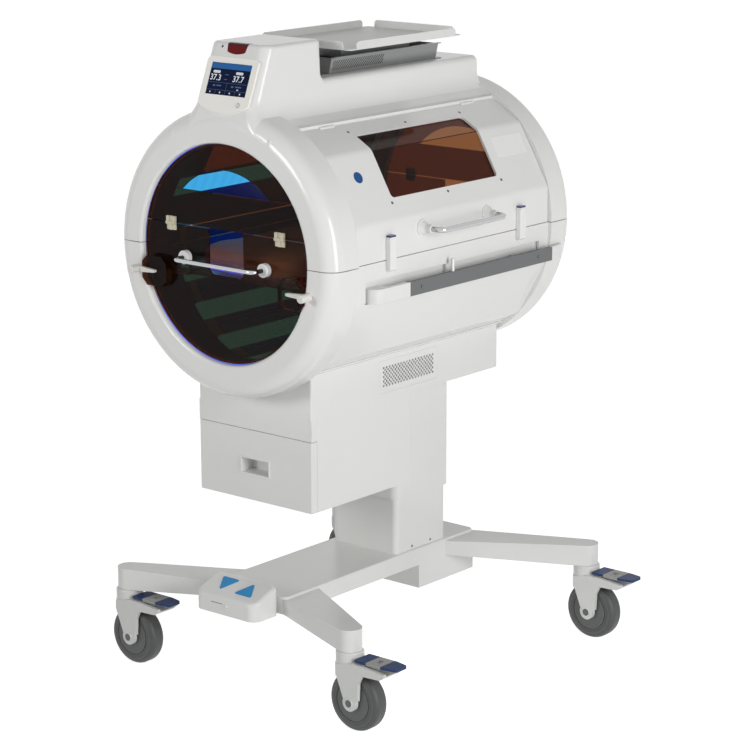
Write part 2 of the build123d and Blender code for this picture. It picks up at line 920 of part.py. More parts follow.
# Side doors: a curved shell with a window opening across a crease
door_length = door_rear - door_front
with BuildPart() as right_door:
    with BuildSketch(section_plane(door_front)):
        outline_face(body_radius, crease_radius)
        RegularPolygon(inner_radius, facet_count, rotation=facet_step / 2, mode=Mode.SUBTRACT)
        with BuildLine():
            Polyline(*door_sector(door_top_along), close=True)
        make_face(mode=Mode.INTERSECT)
    extrude(amount=-door_length)
    with BuildSketch(section_plane(window_front)):
        with BuildLine():
            Polyline(
                facet_point(30, body_radius / 2, window_lower_along),
                facet_point(30, sector_far, window_lower_along),
                facet_point(60, sector_far, window_upper_along),
                facet_point(60, body_radius / 2, window_upper_along),
                close=True,
            )
        make_face()
    extrude(amount=window_front - window_rear, mode=Mode.SUBTRACT)
    for angle in (30, 60):
        turn = math.radians(angle)
        corner_edges = [
            edge
            for edge in edges_along(right_door, Vector(math.cos(turn), 0, math.sin(turn)))
            if window_front - overrun < edge.center().Y < window_rear + overrun
        ]
        fillet(corner_edges, window_corner_radius)
    add(door_pockets, mode=Mode.SUBTRACT)
    add(door_knuckles)
    add(door_bores, mode=Mode.SUBTRACT)

# Window plates, which lie against the inside of the side doors
plate_radius = (inner_apothem - window_thickness) / math.cos(math.radians(facet_step / 2))
with BuildPart() as right_window:
    with BuildSketch(section_plane(window_front - window_margin)):
        RegularPolygon(inner_radius, facet_count, rotation=facet_step / 2)
        RegularPolygon(plate_radius, facet_count, rotation=facet_step / 2, mode=Mode.SUBTRACT)
        with BuildLine():
            Polyline(
                facet_point(30, body_radius / 2, window_lower_along - window_margin),
                facet_point(30, sector_far, window_lower_along - window_margin),
                facet_point(60, sector_far, window_upper_along + window_margin),
                facet_point(60, body_radius / 2, window_upper_along + window_margin),
                close=True,
            )
        make_face(mode=Mode.INTERSECT)
    extrude(amount=window_front - window_rear - 2 * window_margin)

# Side door handles: a bent bar between two flared bosses
handle_plane = Plane(
    origin=(apothem, 0, axis_height + handle_height), x_dir=(0, 1, 0), z_dir=(0, 0, -1)
)
handle_bar = bent_bar(
    handle_plane,
    handle_front,
    handle_rear,
    handle_reach - handle_bar_radius,
    handle_bend_radius,
    handle_bar_radius,
)
with BuildPart() as right_handle:
    for y in (handle_front, handle_rear):
        with Locations(Plane(origin=(apothem, y, axis_height + handle_height), z_dir=(1, 0, 0))):
            Cylinder(
                handle_flange_radius,
                handle_flange_depth / 2,
                align=(Align.CENTER, Align.CENTER, Align.MIN),
            )
            Cone(
                handle_flange_radius,
                handle_neck_radius,
                handle_neck_depth / 2,
                align=(Align.CENTER, Align.CENTER, Align.MIN),
            )
            Cylinder(
                handle_neck_radius,
                handle_neck_depth,
                align=(Align.CENTER, Align.CENTER, Align.MIN),
            )
    add(handle_bar)

# Door lamps: a strip behind each side door under its window, on two feet
door_lamp_apothem = inner_apothem - window_thickness - seat_gap
with BuildPart() as right_door_lamp:
    with Locations(facet_plane(30, door_lamp_apothem)):
        with Locations((cabin_centre, door_lamp_along)):
            Box(
                lamp_length,
                lamp_width,
                lamp_thickness,
                align=(Align.CENTER, Align.CENTER, Align.MAX),
            )
        for end in (-1, 1):
            foot_y = cabin_centre + end * (lamp_length - lamp_width) / 2
            with Locations((foot_y, door_lamp_along)):
                Box(
                    lamp_width / 2,
                    lamp_width / 2,
                    window_thickness + seat_gap,
                    align=(Align.CENTER, Align.CENTER, Align.MIN),
                )

for name, right_piece in (
    ("door_shell", right_door.part),
    ("door_window", right_window.part),
    ("door_handle", right_handle.part),
    ("door_lamp", right_door_lamp.part),
):
    write_piece(right_piece, f"{name}_right")
    write_piece(mirrored(right_piece, Plane.YZ), f"{name}_left")

# Accessory rails: flat bars on posts in the recesses along both sides
recess_bed = apothem - recess_depth
rail_middle = axis_height + rail_low + rail_height / 2
with BuildPart() as side_rails:
    with Locations((rail_outer, (rail_front + rail_rear) / 2, rail_middle)):
        Box(
            rail_thickness,
            rail_rear - rail_front,
            rail_height,
            align=(Align.MAX, Align.CENTER, Align.CENTER),
        )
    for y in rail_screw_places:
        with Locations(Plane(origin=(rail_outer, y, rail_middle), z_dir=(1, 0, 0))):
            Cylinder(
                rail_screw_radius,
                rail_screw_head,
                align=(Align.CENTER, Align.CENTER, Align.MIN),
            )
    for y in rail_post_places:
        with Locations(Plane(origin=(recess_bed, y, rail_middle), z_dir=(1, 0, 0))):
            Cylinder(
                rail_post_radius,
                rail_outer - rail_thickness - recess_bed,
                align=(Align.CENTER, Align.CENTER, Align.MIN),
            )
    with Locations((rail_outer - rail_thickness / 2, peg_place, axis_height + rail_low + rail_height)):
        Cylinder(peg_radius, peg_height, align=(Align.CENTER, Align.CENTER, Align.MIN))
    mirror(about=Plane.YZ)
write_piece(side_rails.part, "side_rails")

# Rail brackets: a block and an arm in front of each rail, and a tail bent in to the rear ring
rail_plane = Plane.XY.offset(axis_height + rail_low)
bracket_rear = bracket_front + bracket_block
tail_end = rail_rear + tail_reach
with BuildPart() as rail_brackets:
    with BuildSketch(rail_plane) as bracket_outline:
        with BuildLine():
            Polyline(
                (recess_bed, bracket_front),
                (rail_outer, bracket_front),
                (rail_outer, rail_front),
                (rail_outer - bracket_thickness, rail_front),
                (rail_outer - bracket_thickness, bracket_rear),
                (recess_bed, bracket_rear),
                close=True,
            )
        make_face()
        outer_corner = Vector(rail_outer, bracket_front)
        fillet(bracket_outline.vertices().sort_by_distance(outer_corner)[0], bracket_corner_radius)
    extrude(amount=rail_height)
    with BuildSketch(rail_plane):
        with BuildLine():
            tail_outer = ring_radius + tail_bow / 2
            Line((rail_outer - tail_thickness, rail_rear), (rail_outer, rail_rear))
            TangentArc((rail_outer, rail_rear), (tail_outer, tail_end), tangent=(0, 1))
            Line((tail_outer, tail_end), (tail_outer - tail_thickness, tail_end))
            TangentArc(
                (rail_outer - tail_thickness, rail_rear),
                (tail_outer - tail_thickness, tail_end),
                tangent=(0, 1),
            )
        make_face()
    extrude(amount=rail_height)
    mirror(about=Plane.YZ)
write_piece(rail_brackets.part, "rail_brackets")

# End windows: the fixed plates in both ring mouths, with the fixed hinge leaves
knuckle_y = end_plate_front - knuckle_radius - seat_gap
knuckle_third = 2 * leaf_half / 3
chord_rise = chord_height + chord_gap / 2
band_bottom = hinge_height + hinge_gap
port_top = hinge_height - hinge_gap
with BuildPart() as end_windows:
    with BuildSketch(section_plane(end_plate_front)):
        Circle(ring_mouth_radius - seat_gap)
        Circle(arch_radius, mode=Mode.SUBTRACT)
        with Locations((0, chord_rise)):
            Rectangle(
                2 * ring_radius, ring_radius, align=(Align.CENTER, Align.MIN), mode=Mode.INTERSECT
            )
    extrude(amount=-end_plate_thickness)
    with BuildSketch(section_plane(end_plate_front)):
        Circle(ring_mouth_radius - seat_gap)
        with Locations((0, band_bottom)):
            Rectangle(
                2 * ring_radius,
                chord_rise - chord_gap - band_bottom,
                align=(Align.CENTER, Align.MIN),
                mode=Mode.INTERSECT,
            )
    extrude(amount=-end_plate_thickness)
    for side in (-1, 1):
        for end in (-1, 1):
            leaf_x = side * leaf_place + end * (knuckle_third + seat_gap / 2)
            with Locations((leaf_x, knuckle_y, axis_height + hinge_height)):
                Cylinder(knuckle_radius, knuckle_third - seat_gap, rotation=(0, 90, 0))
                Box(
                    knuckle_third - seat_gap,
                    leaf_thickness,
                    leaf_height,
                    align=(Align.CENTER, Align.CENTER, Align.MIN),
                )
        with Locations((side * leaf_place, end_plate_front, axis_height + hinge_height + knuckle_radius)):
            Box(
                2 * leaf_half,
                leaf_thickness,
                leaf_height - knuckle_radius,
                align=(Align.CENTER, Align.MAX, Align.MIN),
            )
        with Locations((side * leaf_place, knuckle_y, axis_height + hinge_height)):
            Cylinder(door_pin_radius, 2 * leaf_half, rotation=(0, 90, 0))
    mirror(about=mid_plane)
write_piece(end_windows.part, "end_windows")

# End doors: a plate with a notch for tubes and two raised eight-sided pads
pad_width = pad_block_outer - pad_inner
pad_middle = (pad_low + pad_high) / 2
pad_front = cabin_front - pad_stand_off - pad_plate
with BuildPart() as front_door:
    with BuildSketch(section_plane(end_plate_front)):
        Circle(door_plate_radius)
        with Locations((0, port_top)):
            Rectangle(
                2 * ring_radius, ring_radius, align=(Align.CENTER, Align.MIN), mode=Mode.SUBTRACT
            )
            RectangleRounded(
                2 * port_half, 2 * (port_top - port_bottom), port_corner_radius, mode=Mode.SUBTRACT
            )
    extrude(amount=-end_plate_thickness)
    for side in (-1, 1):
        with BuildSketch(section_plane(pad_front)) as pad_outline:
            with Locations((side * (pad_inner + pad_block_outer) / 2, pad_middle)):
                Rectangle(pad_width, pad_high - pad_low)
            chamfer(pad_outline.vertices(), pad_chamfer)
        extrude(amount=pad_front - end_plate_front)
        with BuildSketch(section_plane(pad_front)) as plate_outline:
            with Locations((side * (pad_inner + pad_outer) / 2, pad_middle)):
                Rectangle(pad_outer - pad_inner, pad_high - pad_low)
            chamfer(plate_outline.vertices(), pad_chamfer)
        extrude(amount=-pad_plate)
write_piece(front_door.part, "front_door")
write_piece(mirrored(front_door.part, mid_plane), "rear_door")

# End door fittings: the moving hinge leaves and a bent grip bar on two collars
grip_plane = Plane(
    origin=(0, end_plate_front, axis_height + grip_height), x_dir=(1, 0, 0), z_dir=(0, -1, 0)
)
grip_bar = bent_bar(
    upright_at(0, end_plate_front, grip_height),
    -grip_half,
    grip_half,
    grip_reach,
    grip_bend_radius,
    grip_radius,
)
with BuildPart() as front_fittings:
    for side in (-1, 1):
        with Locations((side * leaf_place, knuckle_y, axis_height + hinge_height)):
            Cylinder(knuckle_radius, knuckle_third - seat_gap, rotation=(0, 90, 0))
            Box(
                knuckle_third - seat_gap,
                leaf_thickness,
                leaf_height,
                align=(Align.CENTER, Align.CENTER, Align.MAX),
            )
        with Locations((side * leaf_place, end_plate_front, axis_height + hinge_height - knuckle_radius)):
            Box(
                2 * leaf_half,
                leaf_thickness,
                leaf_height - knuckle_radius,
                align=(Align.CENTER, Align.MAX, Align.MAX),
            )
        with Locations((side * leaf_place, knuckle_y, axis_height + hinge_height)):
            Cylinder(
                door_pin_radius + shaft_gap, 2 * leaf_half, rotation=(0, 90, 0), mode=Mode.SUBTRACT
            )
        with Locations(grip_plane):
            with Locations((side * grip_half, 0)):
                Cylinder(
                    grip_collar_radius,
                    grip_collar_depth,
                    align=(Align.CENTER, Align.CENTER, Align.MIN),
                )
    collar_faces = front_fittings.faces().filter_by(GeomType.PLANE).sort_by(Axis.Y)[:2]
    fillet(collar_faces.edges(), latch_edge_radius)
    add(grip_bar)
write_piece(front_fittings.part, "front_door_hardware")
write_piece(mirrored(front_fittings.part, mid_plane), "rear_door_hardware")

# Lamps: straight strips round the lower half of the cabin and two under the roof
with BuildPart() as lamp_panels:
    for index in range(lamp_count):
        with Locations(facet_plane(lamp_first + index * lamp_step, lamp_circle)):
            with Locations((cabin_centre, 0)):
                Box(
                    lamp_length,
                    lamp_width,
                    lamp_thickness,
                    align=(Align.CENTER, Align.CENTER, Align.MIN),
                )
    for side in (-1, 1):
        with Locations((side * roof_lamp_place, cabin_centre, axis_height + inner_apothem - seat_gap)):
            Box(
                lamp_width,
                lamp_length,
                lamp_thickness,
                align=(Align.CENTER, Align.CENTER, Align.MAX),
            )
write_piece(lamp_panels.part, "lamp_panels")

# Bed: a clear tray with a low rim
with BuildPart() as bed_pan:
    with BuildSketch(Plane.XY.offset(axis_height + bed_level)):
        with Locations((0, cabin_centre)):
            RectangleRounded(2 * bed_half, bed_length, bed_corner_radius)
    extrude(amount=bed_rim)
    with BuildSketch(Plane.XY.offset(axis_height + bed_level + bed_thickness)):
        with Locations((0, cabin_centre)):
            RectangleRounded(
                2 * (bed_half - bed_thickness),
                bed_length - 2 * bed_thickness,
                bed_corner_radius - bed_thickness,
            )
    extrude(amount=bed_rim, mode=Mode.SUBTRACT)
write_piece(bed_pan.part, "bed_pan")

# Mattress: a soft pad with drawn-in lower sides, bulging walls and a round shoulder
mattress_bottom = axis_height + bed_level + bed_thickness
with BuildPart() as mattress:
    for rise_share, draw_share, crown_share in mattress_side_shares:
        inset = draw_share * mattress_draw + crown_share * mattress_crown
        with BuildSketch(Plane.XY.offset(mattress_bottom + rise_share * mattress_height)):
            with Locations((0, cabin_centre)):
                RectangleRounded(
                    2 * (mattress_half - inset),
                    mattress_length - 2 * inset,
                    mattress_corner_radius - inset,
                )
    loft()
write_piece(mattress.part, "mattress")

# Plenum: an open-topped box that follows the underside of the cabin, with the fan's post
plenum_length = plenum_rear - plenum_front
plenum_middle = (plenum_front + plenum_rear) / 2
facet_radius = (apothem + seat_gap) / math.cos(math.radians(facet_step / 2))
skirt_radius = (apothem + seat_gap + skirt_thickness) / math.cos(math.radians(facet_step / 2))
with BuildPart() as plenum:
    with Locations((0, plenum_middle, plenum_floor)):
        Box(
            2 * plenum_half,
            plenum_length,
            axis_height - apothem / 2 - plenum_floor,
            align=(Align.CENTER, Align.CENTER, Align.MIN),
        )
    fillet(edges_along(plenum, Vector(0, 0, 1)), plenum_edge_radius)
    with Locations((0, plenum_middle, plenum_floor + plenum_wall)):
        Box(
            2 * (plenum_half - plenum_wall),
            plenum_length - 2 * plenum_wall,
            axis_height - plenum_floor,
            align=(Align.CENTER, Align.CENTER, Align.MIN),
            mode=Mode.SUBTRACT,
        )
    with Locations((0, fan_place, plenum_floor)):
        Cylinder(
            fan_post_radius,
            fan_lift + fan_bore_depth,
            align=(Align.CENTER, Align.CENTER, Align.MIN),
        )
    with BuildSketch(section_plane(plenum_front)):
        RegularPolygon(skirt_radius, facet_count, rotation=facet_step / 2)
        Rectangle(2 * (plenum_half + skirt_width), 2 * body_radius, mode=Mode.INTERSECT)
        Rectangle(2 * (plenum_half - plenum_wall), 2 * body_radius, mode=Mode.SUBTRACT)
        with Locations((0, -body_radius / 2)):
            Rectangle(2 * body_radius, body_radius, mode=Mode.INTERSECT)
    extrude(amount=-plenum_length)
    with BuildSketch(section_plane(plenum_front - overrun)):
        RegularPolygon(facet_radius, facet_count, rotation=facet_step / 2)
    extrude(amount=-(plenum_length + 2 * overrun), mode=Mode.SUBTRACT)
    with Locations((0, (vent_front + vent_rear) / 2, (vent_low + vent_high) / 2)):
        Box(4 * plenum_half, vent_rear - vent_front, vent_high - vent_low, mode=Mode.SUBTRACT)
write_piece(plenum.part, "plenum")

# Vent grilles: plates with staggered holes in both sides of the plenum
vent_width = vent_rear - vent_front - 2 * seat_gap
vent_tall = vent_high - vent_low - 2 * seat_gap
vent_columns = int((vent_width - 2 * vent_border) / vent_pitch)
vent_rows = int((vent_tall - 2 * vent_border) / vent_pitch)
with BuildPart() as vent_grilles:
    vent_plane = Plane(
        origin=(plenum_half, (vent_front + vent_rear) / 2, (vent_low + vent_high) / 2),
        x_dir=(0, 1, 0),
        z_dir=(1, 0, 0),
    )
    with BuildSketch(vent_plane):
        Rectangle(vent_width, vent_tall)
        with GridLocations(vent_pitch, vent_pitch, vent_columns, vent_rows):
            Circle(vent_hole_radius, mode=Mode.SUBTRACT)
        with GridLocations(vent_pitch, vent_pitch, vent_columns - 1, vent_rows - 1):
            Circle(vent_hole_radius, mode=Mode.SUBTRACT)
    extrude(amount=-plenum_wall)
    mirror(about=Plane.YZ)
write_piece(vent_grilles.part, "vent_grilles")

# Fan: a hub with tilted blades that turns on the post
fan_floor = plenum_floor + fan_lift
blade_length = fan_radius - fan_hub_radius + overrun
with BuildPart() as fan:
    with Locations((0, fan_place, fan_floor)):
        Cylinder(fan_hub_radius, fan_height, align=(Align.CENTER, Align.CENTER, Align.MIN))
    with Locations((0, fan_place, fan_floor + fan_height / 2)):
        with PolarLocations(fan_radius - blade_length / 2, fan_blade_count):
            Box(blade_length, fan_blade_thickness, fan_height, rotation=(fan_blade_pitch, 0, 0))
    with Locations((0, fan_place, fan_floor)):
        Cylinder(
            fan_post_radius + shaft_gap,
            fan_bore_depth + fan_blade_thickness / 2,
            align=(Align.CENTER, Align.CENTER, Align.MIN),
            mode=Mode.SUBTRACT,
        )
write_piece(fan.part, "fan")

# Drawer housing under the plenum, open at the front below a head strip
drawer_ceiling = plenum_floor - drawer_head
housing_length = drawer_rear - housing_front
box_half = plenum_half - plenum_wall - drawer_side_gap
box_floor = drawer_floor + plenum_wall + runner_thickness + seat_gap
with BuildPart() as drawer_housing:
    with Locations((0, drawer_rear, drawer_floor)):
        Box(
            2 * plenum_half,
            housing_length,
            plenum_floor - drawer_floor,
            align=(Align.CENTER, Align.MAX, Align.MIN),
        )
    fillet(edges_along(drawer_housing, Vector(0, 0, 1)), drawer_edge_radius)
    with Locations((0, drawer_rear - plenum_wall, drawer_floor + plenum_wall)):
        Box(
            2 * (plenum_half - plenum_wall),
            housing_length,
            drawer_ceiling - drawer_floor - plenum_wall,
            align=(Align.CENTER, Align.MAX, Align.MIN),
            mode=Mode.SUBTRACT,
        )
        Box(
            2 * (plenum_half - plenum_wall),
            housing_length - 2 * plenum_wall,
            plenum_floor - drawer_floor - 2 * plenum_wall,
            align=(Align.CENTER, Align.MAX, Align.MIN),
            mode=Mode.SUBTRACT,
        )
    with Locations((0, housing_front, plenum_floor)):
        Box(
            2 * plenum_half,
            drawer_front_thickness,
            drawer_head,
            align=(Align.CENTER, Align.MAX, Align.MAX),
        )
    for side in (-1, 1):
        runner_x = side * (plenum_half - plenum_wall)
        runner_align = Align.MAX if side > 0 else Align.MIN
        with Locations((runner_x, (housing_front + drawer_rear) / 2, drawer_floor + plenum_wall)):
            Box(
                runner_width,
                housing_length - 2 * plenum_wall,
                runner_thickness,
                align=(runner_align, Align.CENTER, Align.MIN),
            )
    with Locations((0, (housing_front + drawer_rear) / 2, drawer_floor)):
        with GridLocations(
            2 * (plenum_half - foot_inset), housing_length - 2 * foot_inset, 2, 2
        ):
            Cylinder(foot_radius, foot_height, align=(Align.CENTER, Align.CENTER, Align.MAX))
write_piece(drawer_housing.part, "drawer_housing")

# Drawer front with a recessed pull
drawer_face = housing_front - drawer_face_gap - drawer_front_thickness
front_height = drawer_ceiling - drawer_gap - drawer_floor
pull_plane = Plane(origin=(0, drawer_face, pull_centre), x_dir=(1, 0, 0), z_dir=(0, -1, 0))
with BuildPart() as drawer_front:
    with Locations((0, drawer_face, drawer_floor)):
        Box(
            2 * plenum_half,
            drawer_front_thickness,
            front_height,
            align=(Align.CENTER, Align.MIN, Align.MIN),
        )
    fillet(edges_along(drawer_front, Vector(0, 0, 1)), drawer_edge_radius)
    with BuildSketch(pull_plane.offset(pull_proud)):
        Rectangle(pull_width, pull_height)
    extrude(amount=-(pull_proud + pull_depth + pull_wall))
    with BuildSketch(pull_plane.offset(pull_proud)):
        Rectangle(pull_width - 2 * pull_frame, pull_height - 2 * pull_frame)
    extrude(amount=-(pull_proud + pull_depth), mode=Mode.SUBTRACT)
write_piece(drawer_front.part, "drawer_front")

# Drawer box, which slides on the housing's runners
with BuildPart() as drawer_box:
    with Locations((0, drawer_face + drawer_front_thickness, box_floor)):
        Box(
            2 * box_half,
            drawer_box_length,
            drawer_box_depth,
            align=(Align.CENTER, Align.MIN, Align.MIN),
        )
    with Locations((0, drawer_face + drawer_front_thickness + drawer_wall, box_floor + drawer_wall)):
        Box(
            2 * (box_half - drawer_wall),
            drawer_box_length - 2 * drawer_wall,
            drawer_box_depth,
            align=(Align.CENTER, Align.MIN, Align.MIN),
            mode=Mode.SUBTRACT,
        )
    with BuildSketch(pull_plane):
        Rectangle(pull_width + 2 * seat_gap, pull_height + 2 * seat_gap)
    extrude(amount=-(drawer_front_thickness + 2 * drawer_wall), mode=Mode.SUBTRACT)
write_piece(drawer_box.part, "drawer_box")

# Lower column on the base
column_middle = (column_front + column_rear) / 2
column_length = column_rear - column_front
with BuildPart() as lower_column:
    with BuildSketch(Plane.XY.offset(beam_top)):
        with Locations((0, column_middle)):
            RectangleRounded(2 * column_half, column_length, column_corner_radius)
            RectangleRounded(
                2 * (column_half - column_wall),
                column_length - 2 * column_wall,
                column_corner_radius - column_wall,
                mode=Mode.SUBTRACT,
            )
    extrude(amount=column_top - beam_top)
write_piece(lower_column.part, "lower_column")

# Column sleeve: slides on the column, with guide pads inside and the actuator's rod under its top
with BuildPart() as column_sleeve:
    with BuildSketch(Plane.XY.offset(sleeve_bottom)):
        with Locations((0, column_middle)):
            RectangleRounded(
                2 * (column_half + sleeve_clearance + sleeve_wall),
                column_length + 2 * (sleeve_clearance + sleeve_wall),
                column_corner_radius + sleeve_clearance + sleeve_wall,
            )
    extrude(amount=plenum_floor - sleeve_bottom)
    with BuildSketch(Plane.XY.offset(sleeve_bottom)):
        with Locations((0, column_middle)):
            RectangleRounded(
                2 * (column_half + sleeve_clearance),
                column_length + 2 * sleeve_clearance,
                column_corner_radius + sleeve_clearance,
            )
    extrude(amount=plenum_floor - sleeve_plate - sleeve_bottom, mode=Mode.SUBTRACT)
    pad_depth = sleeve_clearance - seat_gap
    for pad_bottom in (sleeve_bottom, plenum_floor - sleeve_plate - guide_pad_height):
        with Locations((0, column_middle, pad_bottom)):
            for side in (-1, 1):
                inner_x = side * (column_half + sleeve_clearance - pad_depth / 2)
                inner_y = side * (column_length / 2 + sleeve_clearance - pad_depth / 2)
                with Locations((inner_x, 0, 0)):
                    Box(
                        pad_depth,
                        guide_pad_width,
                        guide_pad_height,
                        align=(Align.CENTER, Align.CENTER, Align.MIN),
                    )
                with Locations((0, inner_y, 0)):
                    Box(
                        guide_pad_width,
                        pad_depth,
                        guide_pad_height,
                        align=(Align.CENTER, Align.CENTER, Align.MIN),
                    )
    with Locations((0, column_middle, plenum_floor)):
        Cylinder(
            rod_radius, sleeve_plate + rod_length, align=(Align.CENTER, Align.CENTER, Align.MAX)
        )
write_piece(column_sleeve.part, "column_sleeve")

# Lift actuator: the tube that the rod runs in
with BuildPart() as lift_actuator:
    with Locations((0, column_middle, beam_top)):
        Cylinder(
            actuator_radius,
            actuator_top - beam_top,
            align=(Align.CENTER, Align.CENTER, Align.MIN),
        )
    with Locations((0, column_middle, beam_top + actuator_floor)):
        Cylinder(
            rod_radius + shaft_gap,
            actuator_top - beam_top,
            align=(Align.CENTER, Align.CENTER, Align.MIN),
            mode=Mode.SUBTRACT,
        )
write_piece(lift_actuator.part, "lift_actuator")


def leg(root, stem_half, stem_y):
    """Leg that tapers in plan and deepens towards the socket of its caster's stem."""
    root_x = beam_half - leg_root_inset
    with BuildPart() as arm:
        with BuildSketch(Plane.XY.offset(leg_tip_bottom)):
            with Locations((stem_half, stem_y)):
                Circle(leg_tip_radius)
            with Locations((root_x, (root[0] + root[1]) / 2)):
                Rectangle(leg_root_inset, root[1] - root[0], align=(Align.MIN, Align.CENTER))
            make_hull()
        extrude(amount=leg_tip_top - leg_tip_bottom)
        with BuildSketch(Plane.XZ) as arm_side:
            with BuildLine():
                tip_x = stem_half + leg_tip_radius
                level_x = stem_half - leg_level_reach
                Polyline(
                    (root_x, leg_root_bottom),
                    (level_x, leg_tip_bottom),
                    (tip_x, leg_tip_bottom),
                    (tip_x, leg_tip_top),
                    (level_x, leg_tip_top),
                    (root_x, leg_root_top),
                    close=True,
                )
            make_face()
        extrude(amount=reach_share * cabin_length / 2, both=True, mode=Mode.INTERSECT)
        with Locations((stem_half, stem_y, leg_tip_bottom)):
            Cylinder(
                stem_radius + shaft_gap,
                stem_length,
                align=(Align.CENTER, Align.CENTER, Align.MIN),
                mode=Mode.SUBTRACT,
            )
    return arm.part


# Base frame: a hollow beam with four legs
right_legs = [
    leg(front_leg_root, front_stem_half, front_stem_y),
    leg(rear_leg_root, rear_stem_half, rear_stem_y),
]
base_legs = both_sides(right_legs)
with BuildPart() as base_frame:
    with Locations((0, (beam_front + beam_rear) / 2, beam_top)):
        Box(
            2 * beam_half,
            beam_rear - beam_front,
            beam_top - beam_bottom,
            align=(Align.CENTER, Align.CENTER, Align.MAX),
        )
    fillet(base_frame.edges().filter_by(Axis.Z), beam_corner_radius)
    fillet(base_frame.faces().sort_by(Axis.Z)[-1].edges(), beam_edge_radius)
    with Locations((0, (beam_front + beam_rear) / 2, beam_top - beam_wall)):
        Box(
            2 * (beam_half - beam_corner_radius),
            beam_rear - beam_front - 2 * beam_corner_radius,
            beam_top,
            align=(Align.CENTER, Align.CENTER, Align.MAX),
            mode=Mode.SUBTRACT,
        )
    add(base_legs)
write_piece(base_frame.part, "base_frame")

# Under box below the beam's rear end
box_length = box_rear - box_front
with BuildPart() as under_box:
    with Locations((0, box_front, beam_bottom)):
        Box(
            2 * (beam_half - box_inset),
            box_length,
            box_height,
            align=(Align.CENTER, Align.MIN, Align.MAX),
        )
    with Locations((0, box_front + plenum_wall, beam_bottom)):
        Box(
            2 * (beam_half - box_inset - plenum_wall),
            box_length - 2 * plenum_wall,
            box_height - plenum_wall,
            align=(Align.CENTER, Align.MIN, Align.MAX),
            mode=Mode.SUBTRACT,
        )
write_piece(under_box.part, "under_box")

# Caster fork, drawn about its stem: cap, crown, two cheeks, a fender and the wheel's axle
cheek_inner = wheel_width / 2 + wheel_side_gap
cheek_outer = cheek_inner + cheek_thickness
wheel_side_plane = Plane(origin=(caster_trail, 0, wheel_radius), x_dir=(1, 0, 0), z_dir=(0, -1, 0))
cap_top = leg_tip_bottom - seat_gap
cap_floor = cap_top - cap_height
with BuildPart() as caster_fork:
    with BuildSketch(wheel_side_plane.offset(-cheek_outer)) as cheek:
        with BuildLine():
            Polyline(*cheek_outline, close=True)
        make_face()
        Circle(cheek_foot_radius)
        inner_bend = Vector(cheek_outline[7][0], cheek_outline[7][1])
        fillet(cheek.vertices().sort_by_distance(inner_bend)[0], wheel_clearance)
    extrude(amount=2 * cheek_outer)
    with Locations((0, 0, cap_floor)):
        Cylinder(crown_radius, crown_height, align=(Align.CENTER, Align.CENTER, Align.MAX))
    with Locations(wheel_side_plane):
        Cylinder(wheel_radius + wheel_clearance, 2 * cheek_inner, mode=Mode.SUBTRACT)
    with BuildSketch(wheel_side_plane.offset(-cheek_inner)):
        with Locations((crown_radius - caster_trail, 0)):
            Rectangle(guard_reach, 2 * wheel_radius, align=(Align.MIN, Align.MIN))
    extrude(amount=2 * cheek_inner, mode=Mode.SUBTRACT)
    with BuildSketch(wheel_side_plane.offset(-cheek_inner)):
        with Locations((fender_front, wheel_radius + wheel_clearance)):
            Rectangle(
                fender_rear - fender_front, fender_thickness, align=(Align.MIN, Align.MIN)
            )
    extrude(amount=2 * cheek_inner)
    with Locations((0, 0, cap_floor)):
        Cylinder(cap_radius, cap_height, align=(Align.CENTER, Align.CENTER, Align.MIN))
    fillet(
        caster_fork.faces().filter_by(GeomType.PLANE).sort_by(Axis.Z)[-1].edges(), cap_edge_radius
    )
    with Locations((0, 0, cap_top - cap_edge_radius)):
        Cylinder(
            stem_radius,
            stem_length - overrun + cap_edge_radius,
            align=(Align.CENTER, Align.CENTER, Align.MIN),
        )
    with Locations(wheel_side_plane):
        Cylinder(axle_radius + shaft_gap, 4 * cheek_outer, mode=Mode.SUBTRACT)
    with Locations(wheel_side_plane):
        with Locations((brake_pin_place - caster_trail, brake_pin_rise)):
            Cylinder(brake_pin_radius, 2 * cheek_inner + cheek_thickness)
    with Locations(wheel_side_plane):
        Cylinder(axle_radius, 2 * cheek_outer)
    for side in (-1, 1):
        with Locations(wheel_side_plane.offset(side * (cheek_outer + axle_head_depth / 2))):
            Cylinder(axle_head_radius, axle_head_depth)

# Caster wheel, turned about its axle
with BuildPart() as caster_wheel:
    with Locations(wheel_side_plane):
        Cylinder(wheel_radius, wheel_width)
    fillet(caster_wheel.edges(), tread_edge_radius)
    for side in (-1, 1):
        face_plane = wheel_side_plane.offset(side * wheel_width / 2)
        with BuildSketch(face_plane):
            Circle(hub_radius + hub_groove)
            Circle(hub_radius, mode=Mode.SUBTRACT)
        extrude(amount=-side * hub_groove_depth, mode=Mode.SUBTRACT)
        with Locations(face_plane.offset(side * wheel_side_gap / 3)):
            Cylinder(hub_boss_radius, wheel_side_gap)
    with Locations(wheel_side_plane):
        Cylinder(axle_radius + shaft_gap, 2 * cheek_outer, mode=Mode.SUBTRACT)

